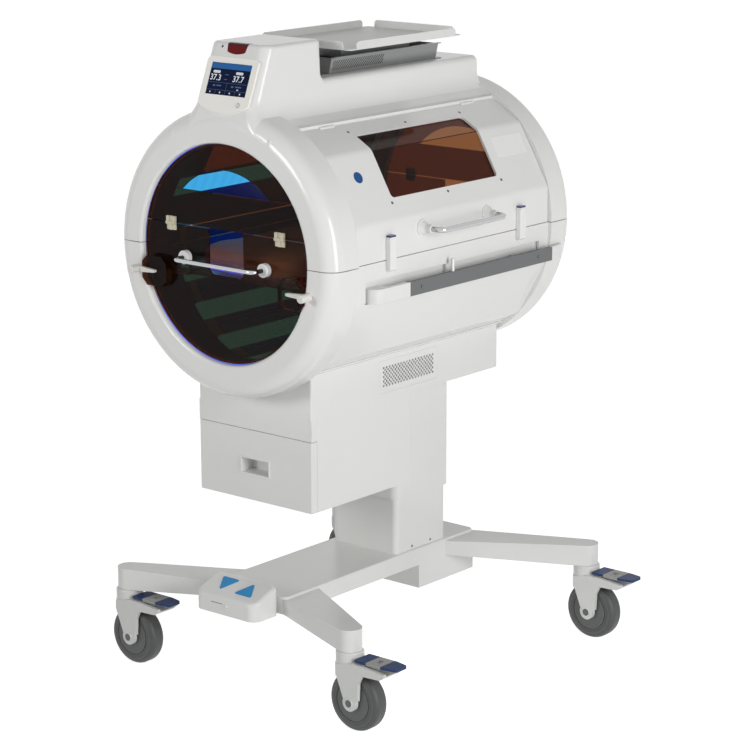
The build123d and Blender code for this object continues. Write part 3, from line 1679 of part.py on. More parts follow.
# Brake pedal: a plate over the fender with a shoe above the tread
with BuildPart() as caster_brake:
    brake_plane = Plane.XY.offset(wheel_radius + brake_rise)
    with BuildSketch(brake_plane) as brake_outline:
        with BuildLine():
            Polyline(
                (brake_root, -brake_width / 2),
                (guard_reach, -brake_width / 2),
                (brake_reach, -brake_tip_width / 2),
                (brake_reach, brake_tip_width / 2),
                (guard_reach, brake_width / 2),
                (brake_root, brake_width / 2),
                close=True,
            )
        make_face()
        fillet(brake_outline.vertices().group_by(Axis.X)[-1], brake_corner_radius)
        with Locations((brake_hole_place, 0)):
            Rectangle(brake_hole, brake_hole, mode=Mode.SUBTRACT)
    extrude(amount=brake_thickness)
    pin_x = brake_pin_place - caster_trail
    with BuildSketch(wheel_side_plane.offset(-brake_lug_width / 2)):
        with Locations((pin_x, brake_pin_rise)):
            Circle(brake_lug_radius)
            Rectangle(
                2 * brake_lug_radius,
                brake_rise + brake_thickness / 2 - brake_pin_rise,
                align=(Align.CENTER, Align.MIN),
            )
    extrude(amount=brake_lug_width)
    with Locations((brake_shoe_place, 0, wheel_radius + brake_shoe_rise)):
        Box(
            brake_shoe_length,
            brake_lug_width,
            brake_rise - brake_shoe_rise + brake_thickness / 2,
            align=(Align.CENTER, Align.CENTER, Align.MIN),
        )
    with Locations(wheel_side_plane):
        with Locations((pin_x, brake_pin_rise)):
            Cylinder(brake_pin_radius + shaft_gap, brake_width, mode=Mode.SUBTRACT)

for name, stem_x, stem_y in (
    ("front_left", -front_stem_half, front_stem_y),
    ("front_right", front_stem_half, front_stem_y),
    ("rear_left", -rear_stem_half, rear_stem_y),
    ("rear_right", rear_stem_half, rear_stem_y),
):
    stem_location = Location((stem_x, stem_y, 0))
    write_piece(caster_fork.part.moved(stem_location), f"caster_fork_{name}")
    write_piece(caster_wheel.part.moved(stem_location), f"caster_wheel_{name}")
    write_piece(caster_brake.part.moved(stem_location), f"caster_brake_{name}")

# Foot switch at the front of the beam, with a sloping top
switch_rear = beam_front - switch_gap
switch_front = switch_rear - switch_depth
switch_slope = math.degrees(math.atan2(switch_back_top - switch_front_top, switch_depth))
key_plane = Plane(
    origin=(0, (switch_front + switch_rear) / 2, (switch_front_top + switch_back_top) / 2),
    x_dir=(1, 0, 0),
    z_dir=(0, -math.sin(math.radians(switch_slope)), math.cos(math.radians(switch_slope))),
)


def key_outline(place, turn, growth):
    """Rounded triangle of one key on the current sketch's plane."""
    key_reach = key_size / math.sqrt(key_sides)
    shift = -math.sin(math.radians(turn)) * key_shift_share * key_reach
    with BuildSketch(mode=Mode.PRIVATE) as outline:
        with Locations((place, shift)):
            RegularPolygon(key_reach + growth, key_sides, rotation=turn)
        fillet(outline.vertices(), key_corner_radius)
    add(outline.sketch)


with BuildPart() as pedal_housing:
    with BuildSketch(Plane.YZ):
        with BuildLine():
            Polyline(
                (switch_front, switch_floor),
                (switch_front, switch_front_top),
                (switch_rear, switch_back_top),
                (switch_rear, switch_floor),
                close=True,
            )
        make_face()
    extrude(amount=switch_half, both=True)
    fillet(edges_along(pedal_housing, Vector(0, 0, 1)), switch_corner_radius)
    fillet(pedal_housing.faces().sort_by(Axis.Z)[-1].edges(), switch_edge_radius)
    with Locations((0, (switch_front + switch_rear) / 2, switch_floor)):
        Box(
            2 * (switch_half - switch_corner_radius),
            switch_depth - 2 * switch_wall,
            switch_cavity_height,
            align=(Align.CENTER, Align.CENTER, Align.MIN),
            mode=Mode.SUBTRACT,
        )
    for place, turn in ((-key_place, 270), (key_place, 90)):
        with BuildSketch(key_plane):
            key_outline(place, turn, key_gap * 2)
        extrude(amount=-(key_depth - key_proud + key_travel + key_gap), mode=Mode.SUBTRACT)
        with BuildSketch(key_plane):
            key_outline(place, turn, key_gap * 2)
        extrude(amount=switch_edge_radius, mode=Mode.SUBTRACT)
write_piece(pedal_housing.part, "pedal_housing")

for name, place, turn in (("down", -key_place, 270), ("up", key_place, 90)):
    with BuildPart() as pedal_key:
        with BuildSketch(key_plane.offset(key_proud)):
            key_outline(place, turn, 0)
        extrude(amount=-key_depth)
    write_piece(pedal_key.part, f"pedal_key_{name}")

# Display: a bezel with a screen in a pocket on the turret's slanted front
bezel_low = slant_at(bezel_corner_height)
bezel_high = slant_at(bezel_top_height)
screen_middle = slant_at(screen_centre_height)
with BuildPart() as display_bezel:
    with BuildSketch(slant_plane.offset(-bezel_skirt)) as bezel_outline:
        with BuildLine():
            Polyline(
                (-bezel_half, bezel_low),
                (-bezel_half, bezel_high),
                (bezel_half, bezel_high),
                (bezel_half, bezel_low),
            )
            ThreePointArc(
                (bezel_half, bezel_low), (0, bezel_low - bezel_sag), (-bezel_half, bezel_low)
            )
        make_face()
        fillet(bezel_outline.vertices(), bezel_corner_radius)
    extrude(amount=bezel_skirt + bezel_thickness)
    add(roof_block.part, mode=Mode.SUBTRACT)
    with BuildSketch(slant_plane.offset(bezel_thickness)):
        with Locations((0, screen_middle)):
            Rectangle(2 * (screen_half + seat_gap), screen_height + 2 * seat_gap)
    extrude(amount=-(screen_recess + screen_thickness), mode=Mode.SUBTRACT)
    with Locations(slant_plane):
        with Locations((knob_place, slant_at(knob_height))):
            Cylinder(knob_radius + knob_gap, 4 * bezel_thickness, mode=Mode.SUBTRACT)
write_piece(display_bezel.part, "display_bezel")

with BuildPart() as display_screen:
    with BuildSketch(slant_plane.offset(bezel_thickness - screen_recess)):
        with Locations((0, screen_middle)):
            Rectangle(2 * screen_half, screen_height)
    extrude(amount=-screen_thickness)
write_piece(display_screen.part, "display_screen")

with BuildPart() as knob:
    with Locations(slant_plane.offset(bezel_thickness + knob_proud)):
        with Locations((knob_place, slant_at(knob_height))):
            Cylinder(knob_radius, knob_length, align=(Align.CENTER, Align.CENTER, Align.MAX))
write_piece(knob.part, "display_knob")

# Tray cradle on the spine: a folded trough with end plates, a finned block and the tray's support
cradle_floor = axis_height + spine_top
cradle_middle = (cradle_front + cradle_rear) / 2
cradle_length = cradle_rear - cradle_front
fin_length = cradle_length - 2 * fin_block_inset
with BuildPart() as tray_cradle:
    with BuildSketch(section_plane(cradle_front)):
        with BuildLine():
            Polyline(
                (-cradle_half - cradle_lip, spine_top + cradle_height),
                (-cradle_half, spine_top + cradle_height),
                (-cradle_foot_half, spine_top),
                (cradle_foot_half, spine_top),
                (cradle_half, spine_top + cradle_height),
                (cradle_half + cradle_lip, spine_top + cradle_height),
            )
            offset(amount=cradle_sheet, side=Side.LEFT)
        make_face()
    extrude(amount=-cradle_length)
    for end, end_y in ((-1, cradle_front), (1, cradle_rear)):
        with BuildSketch(section_plane(end_y)):
            with BuildLine():
                Polyline(
                    (-cradle_foot_half, spine_top),
                    (-cradle_half, spine_top + cradle_height),
                    (cradle_half, spine_top + cradle_height),
                    (cradle_foot_half, spine_top),
                    close=True,
                )
            make_face()
        extrude(amount=end * cradle_sheet)
        with Locations((0, end_y + end * cradle_foot / 2, cradle_floor)):
            Box(
                2 * cradle_foot_half,
                cradle_foot,
                cradle_sheet,
                align=(Align.CENTER, Align.CENTER, Align.MIN),
            )
    with Locations((0, cradle_middle, cradle_floor)):
        Box(
            2 * fin_block_half,
            fin_length,
            fin_base,
            align=(Align.CENTER, Align.CENTER, Align.MIN),
        )
        with GridLocations(0, fin_length / fin_count, 1, fin_count):
            Box(
                2 * fin_block_half,
                fin_gap,
                fin_base + fin_depth,
                align=(Align.CENTER, Align.CENTER, Align.MIN),
            )
        Box(
            2 * spacer_half,
            spacer_length,
            tray_floor - cradle_floor,
            align=(Align.CENTER, Align.CENTER, Align.MIN),
        )
write_piece(tray_cradle.part, "tray_cradle")

# Top tray: a sheet with four turned-up rims that stop short of the corners
tray_middle = (tray_front + tray_rear) / 2
tray_length = tray_rear - tray_front
with BuildPart() as top_tray:
    with BuildSketch(Plane.XY.offset(tray_floor)):
        with Locations((0, tray_middle)):
            RectangleRounded(2 * tray_half, tray_length, tray_corner_radius)
    extrude(amount=tray_sheet)
    for side in (-1, 1):
        with Locations((side * (tray_half - tray_sheet / 2), tray_middle, tray_floor)):
            Box(
                tray_sheet,
                tray_length - 2 * tray_notch,
                tray_sheet + tray_rim,
                align=(Align.CENTER, Align.CENTER, Align.MIN),
            )
        with Locations((0, tray_middle + side * (tray_length - tray_sheet) / 2, tray_floor)):
            Box(
                2 * (tray_half - tray_notch),
                tray_sheet,
                tray_sheet + tray_rim,
                align=(Align.CENTER, Align.CENTER, Align.MIN),
            )
    rim_tops = top_tray.edges().group_by(Axis.Z)[-1]
    fillet([edge for edge in rim_tops if edge.length < 2 * tray_sheet], rim_corner_radius)
write_piece(top_tray.part, "top_tray")
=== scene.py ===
# Infant phototherapy unit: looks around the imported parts, in metres, in the frame of the parts.
import math

import bpy
import numpy as np
from mathutils import Matrix, Vector


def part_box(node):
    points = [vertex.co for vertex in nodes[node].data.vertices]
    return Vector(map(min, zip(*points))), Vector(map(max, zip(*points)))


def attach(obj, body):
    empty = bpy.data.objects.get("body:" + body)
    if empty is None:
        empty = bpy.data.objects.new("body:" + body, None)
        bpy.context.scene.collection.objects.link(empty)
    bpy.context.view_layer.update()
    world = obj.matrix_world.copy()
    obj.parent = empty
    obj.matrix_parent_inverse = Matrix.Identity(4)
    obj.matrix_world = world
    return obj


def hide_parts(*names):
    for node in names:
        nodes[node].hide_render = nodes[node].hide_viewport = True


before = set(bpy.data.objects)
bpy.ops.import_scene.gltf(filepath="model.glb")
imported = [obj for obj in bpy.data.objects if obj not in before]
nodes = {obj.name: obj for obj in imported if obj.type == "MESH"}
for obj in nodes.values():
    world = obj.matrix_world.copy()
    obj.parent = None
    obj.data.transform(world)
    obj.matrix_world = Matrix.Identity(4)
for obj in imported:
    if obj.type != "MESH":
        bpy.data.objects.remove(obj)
scene = bpy.context.scene
scene.view_settings.view_transform = "Standard"
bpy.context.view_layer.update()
print("frame loaded:", len(nodes), "nodes")

# The camera stands to the front right, a little above the cabin
cameraView = {
    "azimuth": 39.969,
    "elevation": 13.81,
    "roll": -0.181,
    "lens": 124.74,
    "sensor": 36.0,
    "place": (3.44245, -4.0817, 1.9261),
}


def placeCamera(view):
    # the axes are those of a level view turned by azimuth, then elevation, then roll
    azimuth, elevation, roll = (math.radians(view[key]) for key in ("azimuth", "elevation", "roll"))
    flat = math.cos(elevation)
    back = Vector((math.sin(azimuth) * flat, -math.cos(azimuth) * flat, math.sin(elevation)))
    right = Vector((math.cos(azimuth), math.sin(azimuth), 0.0))
    up = back.cross(right)
    turnedRight = right * math.cos(roll) + up * math.sin(roll)
    turnedUp = up * math.cos(roll) - right * math.sin(roll)
    data = bpy.data.cameras.new("camera")
    data.lens, data.sensor_width = view["lens"], view["sensor"]
    camera = bpy.data.objects.new("camera", data)
    axes = Matrix((turnedRight, turnedUp, back)).transposed().to_4x4()
    camera.matrix_world = Matrix.Translation(view["place"]) @ axes
    scene.collection.objects.link(camera)
    scene.camera = camera


placeCamera(cameraView)
print("camera placed")

darkness = (0.0, 0.0, 0.0, 1.0)
fullWhite = (1.0, 1.0, 1.0, 1.0)


def tint(code):
    # a colour written as on a screen, turned to the linear values that a shader takes
    parts = [int(code[i : i + 2], 16) / 255 for i in (1, 3, 5)]
    return (*(c / 12.92 if c < 0.04045 else ((c + 0.055) / 1.055) ** 2.4 for c in parts), 1.0)


class Wire:
    # one output socket of a node tree; arithmetic on wires adds Math nodes
    def __init__(self, tree, socket=None):
        self.tree = tree
        self.socket = socket

    def node(self, kind, settings=None, sockets=None, output=0):
        # a node of any kind: its settings first, then its sockets as values or wires
        made = self.tree.nodes.new("ShaderNode" + kind)
        for name, value in (settings or {}).items():
            setattr(made, name, value)
        for name, value in (sockets or {}).items():
            if isinstance(value, Wire):
                self.tree.links.new(value.socket, made.inputs[name])
            else:
                made.inputs[name].default_value = value
        return Wire(self.tree, made.outputs[output])

    def maths(self, operation, first, second=0.0, clamp=False):
        settings = {"operation": operation, "use_clamp": clamp}
        return self.node("Math", settings, {0: first, 1: second})

    def __add__(self, other):
        return self.maths("ADD", self, other)

    def __radd__(self, other):
        return self.maths("ADD", other, self)

    def __sub__(self, other):
        return self.maths("SUBTRACT", self, other)

    def __rsub__(self, other):
        return self.maths("SUBTRACT", other, self)

    def __mul__(self, other):
        return self.maths("MULTIPLY", self, other)

    def __rmul__(self, other):
        return self.maths("MULTIPLY", other, self)

    def __abs__(self):
        return self.maths("ABSOLUTE", self)

    def __gt__(self, other):
        return self.maths("GREATER_THAN", self, other)

    def __lt__(self, other):
        return self.maths("LESS_THAN", self, other)

    def between(self, low, high):
        # 1 where this wire lies between two values
        return (self > low) * (self < high)

    def wave(self, rate):
        # from 0 to 1 and back, at a rate in radians a metre
        return self.maths("SINE", self * rate) * 0.5 + 0.5

    def vector(self, operation, other=(0.0, 0.0, 0.0), output=0):
        # Vector Math on this wire; its output 1 is a number
        return self.node("VectorMath", {"operation": operation}, {0: self, 1: other}, output)

    def xyz(self):
        # the three numbers of a vector, as wires
        made = self.tree.nodes.new("ShaderNodeSeparateXYZ")
        self.tree.links.new(self.socket, made.inputs[0])
        return [Wire(self.tree, socket) for socket in made.outputs]

    def ramp(self, low, high):
        # 0 below low, 1 above high, a straight line between
        return self.node("MapRange", None, {"Value": self, "From Min": low, "From Max": high})

    def pick(self, low, high):
        # the colour low where this wire is 0, high where it is 1
        return self.node("Mix", {"data_type": "RGBA"}, {"Factor": self, 6: low, 7: high}, 2)

    def noise(self, scale, detail=2.0, rough=0.5):
        # cloudy values about a half, at these coordinates
        sockets = {"Vector": self, "Scale": scale, "Detail": detail, "Roughness": rough}
        return self.node("TexNoise", None, sockets)

    def bump(self, depth):
        # a normal from this wire taken as a height, one unit of it being depth metres
        return self.node("Bump", None, {"Strength": 1.0, "Distance": depth, "Height": self})


def finish(name, build):
    # a material whose surface is what build makes from the object's own coordinates
    made = bpy.data.materials.new(name)
    made.use_nodes = True
    tree = made.node_tree
    tree.nodes.remove(tree.nodes["Principled BSDF"])
    place = Wire(tree).node("TexCoord", output="Object")
    surface = build(place)
    tree.links.new(surface.socket, tree.nodes["Material Output"].inputs["Surface"])
    return made


def paint(material, *names):
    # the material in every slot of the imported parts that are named
    for name in names:
        for part in nodes[name].material_slots:
            part.material = material


# The cabin: middle of its axis, and the heights and reaches that several finishes share
cabin = {
    "middle": (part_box("lower_shell")[0].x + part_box("lower_shell")[1].x) / 2,
    "axis": 0.925,
    "apothem": 0.28302,
    "ringFront": -0.393,
    "windowFront": -0.380,
}
sides = ("right", "left")
ends = ("front", "rear")
corners = [f"{end}_{side}" for end in ends for side in sides]

# Moulded surfaces: the cloud's scale, detail and roughness, and how far it swings the gloss
mouldedLook = {"cloud": (7.0, 4.0, 0.6), "swing": 0.08, "grainDetail": 3.0}


def moulded(place, colour, rough, grain, relief, mottle, extra=None):
    # plastic, paint or metal: a slow cloud in its shade and gloss, and a fine grain in its relief
    cloud = place.noise(*mouldedLook["cloud"])
    shade = cloud.pick((1 - mottle, 1 - mottle, 1 - mottle, 1.0), fullWhite)
    settings = {"data_type": "RGBA", "blend_type": "MULTIPLY"}
    sockets = {
        "Base Color": place.node("Mix", settings, {"Factor": 1.0, 6: colour, 7: shade}, 2),
        "Roughness": cloud * mouldedLook["swing"] + (rough - mouldedLook["swing"] / 2),
        "Normal": place.noise(grain, mouldedLook["grainDetail"]).bump(relief),
    }
    return place.node("BsdfPrincipled", None, {**sockets, **(extra or {})})


def armFrom(place, centre):
    # the arm from an axis that lies along the cabin, and its length
    arm = place.vector("SUBTRACT", tuple(centre)).vector("MULTIPLY", (1.0, 0.0, 1.0))
    return arm, arm.vector("LENGTH", output=1)


# Plain finishes: colour, roughness, the grain's scale and depth, mottle, and other sockets
plainLooks = {
    "frame_white": ("#e8e8e6", 0.25, 1400.0, 0.00003, 0.05, {"Specular IOR Level": 0.35}),
    "black_plastic": ("#232425", 0.45, 900.0, 0.00004, 0.1),
    "pale_plastic": ("#e2e0da", 0.35, 900.0, 0.00002, 0.04),
    "hinge_leaf": ("#cfc8b0", 0.4, 900.0, 0.00003, 0.05),
    "plain_steel": ("#8d9092", 0.3, 300.0, 0.00002, 0.1, {"Metallic": 0.9}),
    "screw_steel": ("#5c5f61", 0.3, 700.0, 0.00002, 0.05, {"Metallic": 0.8}),
    "display_glass": ("#08183a", 0.16, 40.0, 0.00001, 0.1, {"Specular IOR Level": 0.06}),
    "key_rubber": ("#3a98d4", 0.5, 1200.0, 0.00006, 0.06, {"Specular IOR Level": 0.2}),
    "sticker_blue": ("#124f8c", 0.3, 700.0, 0.00002, 0.05, {"Specular IOR Level": 0.2}),
    "label_white": ("#f2f2f0", 0.3, 700.0, 0.00002, 0.02),
    "slot_grey": ("#8b8986", 0.5, 700.0, 0.00002, 0.05),
}


def plainSurface(place, name):
    # the moulded surface that the table gives under this name
    colour, *surface = plainLooks[name]
    return moulded(place, tint(colour), *surface)


def plainFinish(name):
    # the same, as a material of that name
    return finish(name, lambda place: plainSurface(place, name))


# White mouldings, with a painted deep blue on the cabin's inner faces that stands for the lamps'
# blue light
shellLook = {
    "white": tint("#ebebe9"),
    # the painted blue that stands for lamp light on the white inner faces
    "paintedBlueLight": (0.035, 0.06, 0.30, 1.0),
    "blueLightReach": 0.289,
    "blueLightEnd": 0.374,
    "blueLightTurn": -0.5,
    "surface": (0.21, 700.0, 0.00001, 0.03, {"Specular IOR Level": 0.35, "Coat Weight": 0.15}),
}


def shellWhite(place):
    # painted blue light: a face takes it where it looks towards the cabin's axis from within the
    # walls
    arm, reach = armFrom(place, (cabin["middle"], 0.0, cabin["axis"]))
    facing = arm.vector("DOT_PRODUCT", place.node("TexCoord", output="Normal"), 1)
    paintedBlueMask = (facing < reach * shellLook["blueLightTurn"]) * (reach < shellLook["blueLightReach"])
    paintedBlueMask = paintedBlueMask * (abs(place.xyz()[1]) < shellLook["blueLightEnd"])
    colour = paintedBlueMask.pick(shellLook["white"], shellLook["paintedBlueLight"])
    return moulded(place, colour, *shellLook["surface"])


# Amber panels; the end windows carry the beige hinge leaves
amberLook = {
    "tint": (0.205, 0.075, 0.025, 1.0),
    "clear": 0.985,
    "bend": 1.16,
    "smear": (22.0, 4.0, 0.6),
    "gloss": 0.005,
    "glossSwing": 0.03,
    "ripple": (3.0, 0.0002),
    "leafReach": 0.0001 - cabin["windowFront"],
    "leafFloor": cabin["axis"] + 0.03,
}


def amberSheet(place):
    # clear tinted sheet, its gloss smeared and its face slightly rippled
    scale, depth = amberLook["ripple"]
    smear = place.noise(*amberLook["smear"])
    sockets = {
        "Base Color": amberLook["tint"],
        "Roughness": smear * amberLook["glossSwing"] + amberLook["gloss"],
        "IOR": amberLook["bend"],
        "Transmission Weight": amberLook["clear"],
        "Normal": place.noise(scale).bump(depth),
    }
    return place.node("BsdfPrincipled", None, sockets)


def endWindowAmber(place):
    # a leaf where it stands out beyond the sheet and above the axis, and sheet elsewhere
    y, z = place.xyz()[1:]
    leaf = (abs(y) > amberLook["leafReach"]) * (z > amberLook["leafFloor"])
    sockets = {0: leaf, 1: amberSheet(place), 2: plainSurface(place, "hinge_leaf")}
    return place.node("MixShader", None, sockets)


# Chrome bars on painted feet
chromeLook = {
    "colour": (0.50, 0.505, 0.51, 1.0),
    "haze": (160.0, 3.0),
    "relief": 0.00002,
    "paintGloss": 0.3,
    "polish": 0.2,
    "glossSwing": 0.06,
}


def chromed(place, colour, bar):
    # chrome where bar is 1, and the given colour elsewhere
    haze = place.noise(*chromeLook["haze"])
    gloss = chromeLook["paintGloss"] - bar * chromeLook["polish"]
    sockets = {
        "Base Color": bar.pick(colour, chromeLook["colour"]),
        "Metallic": bar,
        "Roughness": gloss + haze * chromeLook["glossSwing"],
        "Normal": haze.bump(chromeLook["relief"]),
    }
    return place.node("BsdfPrincipled", None, sockets)


# End door fittings: beige leaves above, white collars, black legs and a chrome bar
fittingLook = {
    "leafFloor": 0.945,
    "collarReach": 0.3925,
    "legReach": 0.4065,
    "collar": tint("#e9e9e8"),
    "leg": (0.018, 0.018, 0.019, 1.0),
    "leaf": tint("#cfc8b0"),
}


def doorFittings(place):
    # leaves above a height; below it collar, leg and bar by distance from the cabin's mid-length
    y, z = place.xyz()[1:]
    out, leaf = abs(y), z > fittingLook["leafFloor"]
    bar = (out > fittingLook["legReach"]) * (1 - leaf)
    leg = out.between(fittingLook["collarReach"], fittingLook["legReach"]) * (1 - leaf)
    colour = leaf.pick(leg.pick(fittingLook["collar"], fittingLook["leg"]), fittingLook["leaf"])
    return chromed(place, colour, bar)


# Side door handles: a chrome bar between white flared bosses
handleLook = {"boss": tint("#ececea"), "bossReach": cabin["apothem"] + 0.026}


def handleFinish(place):
    # the bar is what lies further from the cabin's middle than the bosses
    out = abs(place.xyz()[0] - cabin["middle"])
    return chromed(place, handleLook["boss"], out > handleLook["bossReach"])


def litSurface(place, look, glow, strength):
    # a dark surface with a fine haze that gives light in the colour glow
    sockets = {
        "Base Color": look["body"],
        "Roughness": place.noise(*look["haze"]) * look["glossSwing"] + look["gloss"],
        "Emission Color": glow,
        "Emission Strength": strength,
    }
    return place.node("BsdfPrincipled", None, {**sockets, **look.get("sockets", {})})


# Lamps: a lit diffuser over a row of tubes
lampLook = {
    "glow": (0.05, 0.39, 0.72, 1.0),
    "edge": (0.03, 0.27, 0.62, 1.0),
    "edgeShare": 0.35,
    "rowRate": 210.0,
    "body": (0.06, 0.08, 0.10, 1.0),
    "haze": (300.0,),
    "gloss": 0.3,
    "glossSwing": 0.1,
    "strength": 1.0,
}


def lampDiffuser(place):
    # a wave along the cabin between two shades of light
    cells = place.xyz()[1].wave(lampLook["rowRate"])
    glow = (cells * lampLook["edgeShare"]).pick(lampLook["glow"], lampLook["edge"])
    return litSurface(place, lampLook, glow, lampLook["strength"])


# Bed: clear plastic with a glow painted on its rim for the lamps' light
bedLook = {
    "tint": (0.80, 0.88, 0.97, 1.0),
    "clear": 0.9,
    "bend": 1.3,
    "haze": (60.0, 3.0),
    "gloss": 0.03,
    "glossSwing": 0.06,
    "ripple": (20.0, 0.0001),
    "rimGlow": (0.02, 0.06, 0.75, 1.0),
    "rimDepths": (0.0025, 0.0005),
    "strength": 0.9,
}


def bedPlastic(place):
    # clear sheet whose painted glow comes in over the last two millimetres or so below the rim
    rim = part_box("bed_pan")[1].z
    glow = place.xyz()[2].ramp(*(rim - depth for depth in bedLook["rimDepths"]))
    scale, depth = bedLook["ripple"]
    sockets = {
        "Base Color": bedLook["tint"],
        "Roughness": place.noise(*bedLook["haze"]) * bedLook["glossSwing"] + bedLook["gloss"],
        "IOR": bedLook["bend"],
        "Transmission Weight": bedLook["clear"],
        "Emission Color": glow.pick(darkness, bedLook["rimGlow"]),
        "Emission Strength": bedLook["strength"],
        "Normal": place.noise(scale).bump(depth),
    }
    return place.node("BsdfPrincipled", None, sockets)


# Rails and tray: sheet metal with fine streaks along the cabin; the rails' pegs are pale
railLook = {
    "steel": tint("#6d6f70"),
    "peg": tint("#dcdcda"),
    "pegLift": 0.0002,
    "surface": (0.42, 900.0, 0.00003, 0.08),
    "sockets": {"Metallic": 0.35},
    "streaks": (0.04, 900.0, 0.00004),
}
trayLook = {
    "sheet": tint("#e8e8e6"),
    "surface": (0.38, 700.0, 0.00002, 0.06),
    "sockets": {"Specular IOR Level": 0.25},
    "streaks": (0.03, 1200.0, 0.00003),
}


def streaked(place, colour, look):
    # a moulded surface whose relief is a noise drawn out along the cabin
    squeeze, scale, depth = look["streaks"]
    drawn = place.node("Mapping", None, {"Vector": place, "Scale": (1.0, squeeze, 1.0)})
    sockets = {**look["sockets"], "Normal": drawn.noise(scale).bump(depth)}
    return moulded(place, colour, *look["surface"], sockets)


def railSteel(place):
    # the pegs are what stands above the brackets
    peg = place.xyz()[2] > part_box("rail_brackets")[1].z + railLook["pegLift"]
    return streaked(place, peg.pick(railLook["steel"], railLook["peg"]), railLook)


def traySheet(place):
    # one colour, with the finest streaks
    return streaked(place, trayLook["sheet"], trayLook)


# Cradle: dull alloy, with painted shade in a comb of slanted slots along the front half of its side
# walls
cradleLook = {
    "alloy": tint("#8e8f8f"),
    # the dark grey of the painted shade inside the slots
    "slot": tint("#3c3d3d"),
    "pitch": 0.0070,
    "lean": 0.8,
    "slotStart": 0.55,
    "span": (-0.114, 0.046),
    "band": (1.270, 1.290),
    "surface": (0.36, 900.0, 0.00002, 0.08, {"Metallic": 0.6}),
}


def cradleAlloy(place):
    # painted slot shade where a wave across slanted lines is high, within a span of y and a band of
    # z
    y, z = place.xyz()[1:]
    comb = (y - z * cradleLook["lean"]).wave(2 * math.pi / cradleLook["pitch"])
    within = y.between(*cradleLook["span"]) * z.between(*cradleLook["band"])
    slot = (comb > cradleLook["slotStart"]) * within
    colour = slot.pick(cradleLook["alloy"], cradleLook["slot"])
    return moulded(place, colour, *cradleLook["surface"])


# Bezel: warm white, with a soft grey painted shadow in a ring round the knob
bezelLook = {
    "white": tint("#f8f6f0"),
    # the grey of the painted shadow round the knob
    "ring": tint("#8f8f8c"),
    "shadowSpan": (0.0045, 0.0062),
    "surface": (0.42, 1600.0, 0.00002, 0.03),
}


def bezelPlastic(place):
    # the painted shadow's grey fades to white with distance from the middle of the knob
    low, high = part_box("display_knob")
    away = place.vector("DISTANCE", tuple((low + high) / 2), 1)
    colour = away.ramp(*bezelLook["shadowSpan"]).pick(bezelLook["ring"], bezelLook["white"])
    return moulded(place, colour, *bezelLook["surface"])


# Alarm lamp: a dark red lens with a ribbed inside and a darker top
alarmLook = {
    "red": tint("#7c0c10"),
    "rib": tint("#3c0608"),
    "ribShare": 0.5,
    "ribRate": 1300.0,
    "top": tint("#2c1416"),
    "topDepths": (0.006, 0.001),
    "surface": (0.14, 200.0, 0.00001, 0.1, {"Specular IOR Level": 0.12}),
}


def alarmLens(place):
    # ribs are a wave across the lens, and the top darkens over its last millimetres
    x, z = place.xyz()[::2]
    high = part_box("alarm_lamp")[1].z
    ribs = x.wave(alarmLook["ribRate"]) * alarmLook["ribShare"]
    top = z.ramp(*(high - depth for depth in alarmLook["topDepths"]))
    colour = top.pick(ribs.pick(alarmLook["red"], alarmLook["rib"]), alarmLook["top"])
    return moulded(place, colour, *alarmLook["surface"])


# Latches: white bars with dark blue caps
latchLook = {
    "bar": tint("#f0f0ef"),
    "cap": tint("#232b66"),
    "capFloor": cabin["axis"] + 0.0462,
    "surface": (0.26, 700.0, 0.00002, 0.05, {"Coat Weight": 0.3}),
}


def latchFinish(place):
    # the cap is what lies above a height
    cap = place.xyz()[2] > latchLook["capFloor"]
    return moulded(place, cap.pick(latchLook["bar"], latchLook["cap"]), *latchLook["surface"])


# Casters: grey rubber wheels with rings in the tread's side, pale forks with a dark cap on
# each end of the axle, and brake pedals with blue pads
casterLook = {
    "tread": tint("#4a4b4b"),
    "hub": tint("#5a5c5c"),
    "hubReach": 0.0396,
    "ring": tint("#6d6f6f"),
    "rings": ((0.0396, 0.0424), (0.0505, 0.0515)),
    "wheelSurface": (0.5, 500.0, 0.00008, 0.12),
    "fork": tint("#dededc"),
    "capReach": 0.0078,
    "forkSurface": (0.32, 1100.0, 0.00004, 0.05),
    "pad": tint("#2b3f6b"),
    "padFloor": 0.1490,
    "plate": tint("#a9a9a7"),
    "plateSpan": (0.038, 0.075),
    "pedalSurface": (0.45, 900.0, 0.00005, 0.08, {"Specular IOR Level": 0.2}),
}


def casterWheel(axle):
    # tread, hub and rings by distance from the axle
    def build(place):
        reach = armFrom(place, axle)[1]
        hub = reach < casterLook["hubReach"]
        ring = sum(reach.between(low, high) for low, high in casterLook["rings"])
        colour = ring.pick(hub.pick(casterLook["tread"], casterLook["hub"]), casterLook["ring"])
        return moulded(place, colour, *casterLook["wheelSurface"])

    return build


def casterFork(axle):
    # the cap is what lies near the axle
    def build(place):
        cap = armFrom(place, axle)[1] < casterLook["capReach"]
        colour = cap.pick(casterLook["fork"], casterLook["hub"])
        return moulded(place, colour, *casterLook["forkSurface"])

    return build


def brakePedal(axle):
    # the pad lies above a height, apart from a plate between two places across the cabin
    def build(place):
        x, z = place.xyz()[::2]
        plate = x.between(*(axle.x + edge for edge in casterLook["plateSpan"]))
        pad = (z > casterLook["padFloor"]) * (1 - plate)
        colour = pad.pick(casterLook["plate"], casterLook["pad"])
        return moulded(place, colour, *casterLook["pedalSurface"])

    return build


plain = {name: plainFinish(name) for name in plainLooks if name != "hinge_leaf"}
white = finish("shell_white", shellWhite)
amber = finish("amber_sheet", amberSheet)
lamp = finish("lamp_diffuser", lampDiffuser)

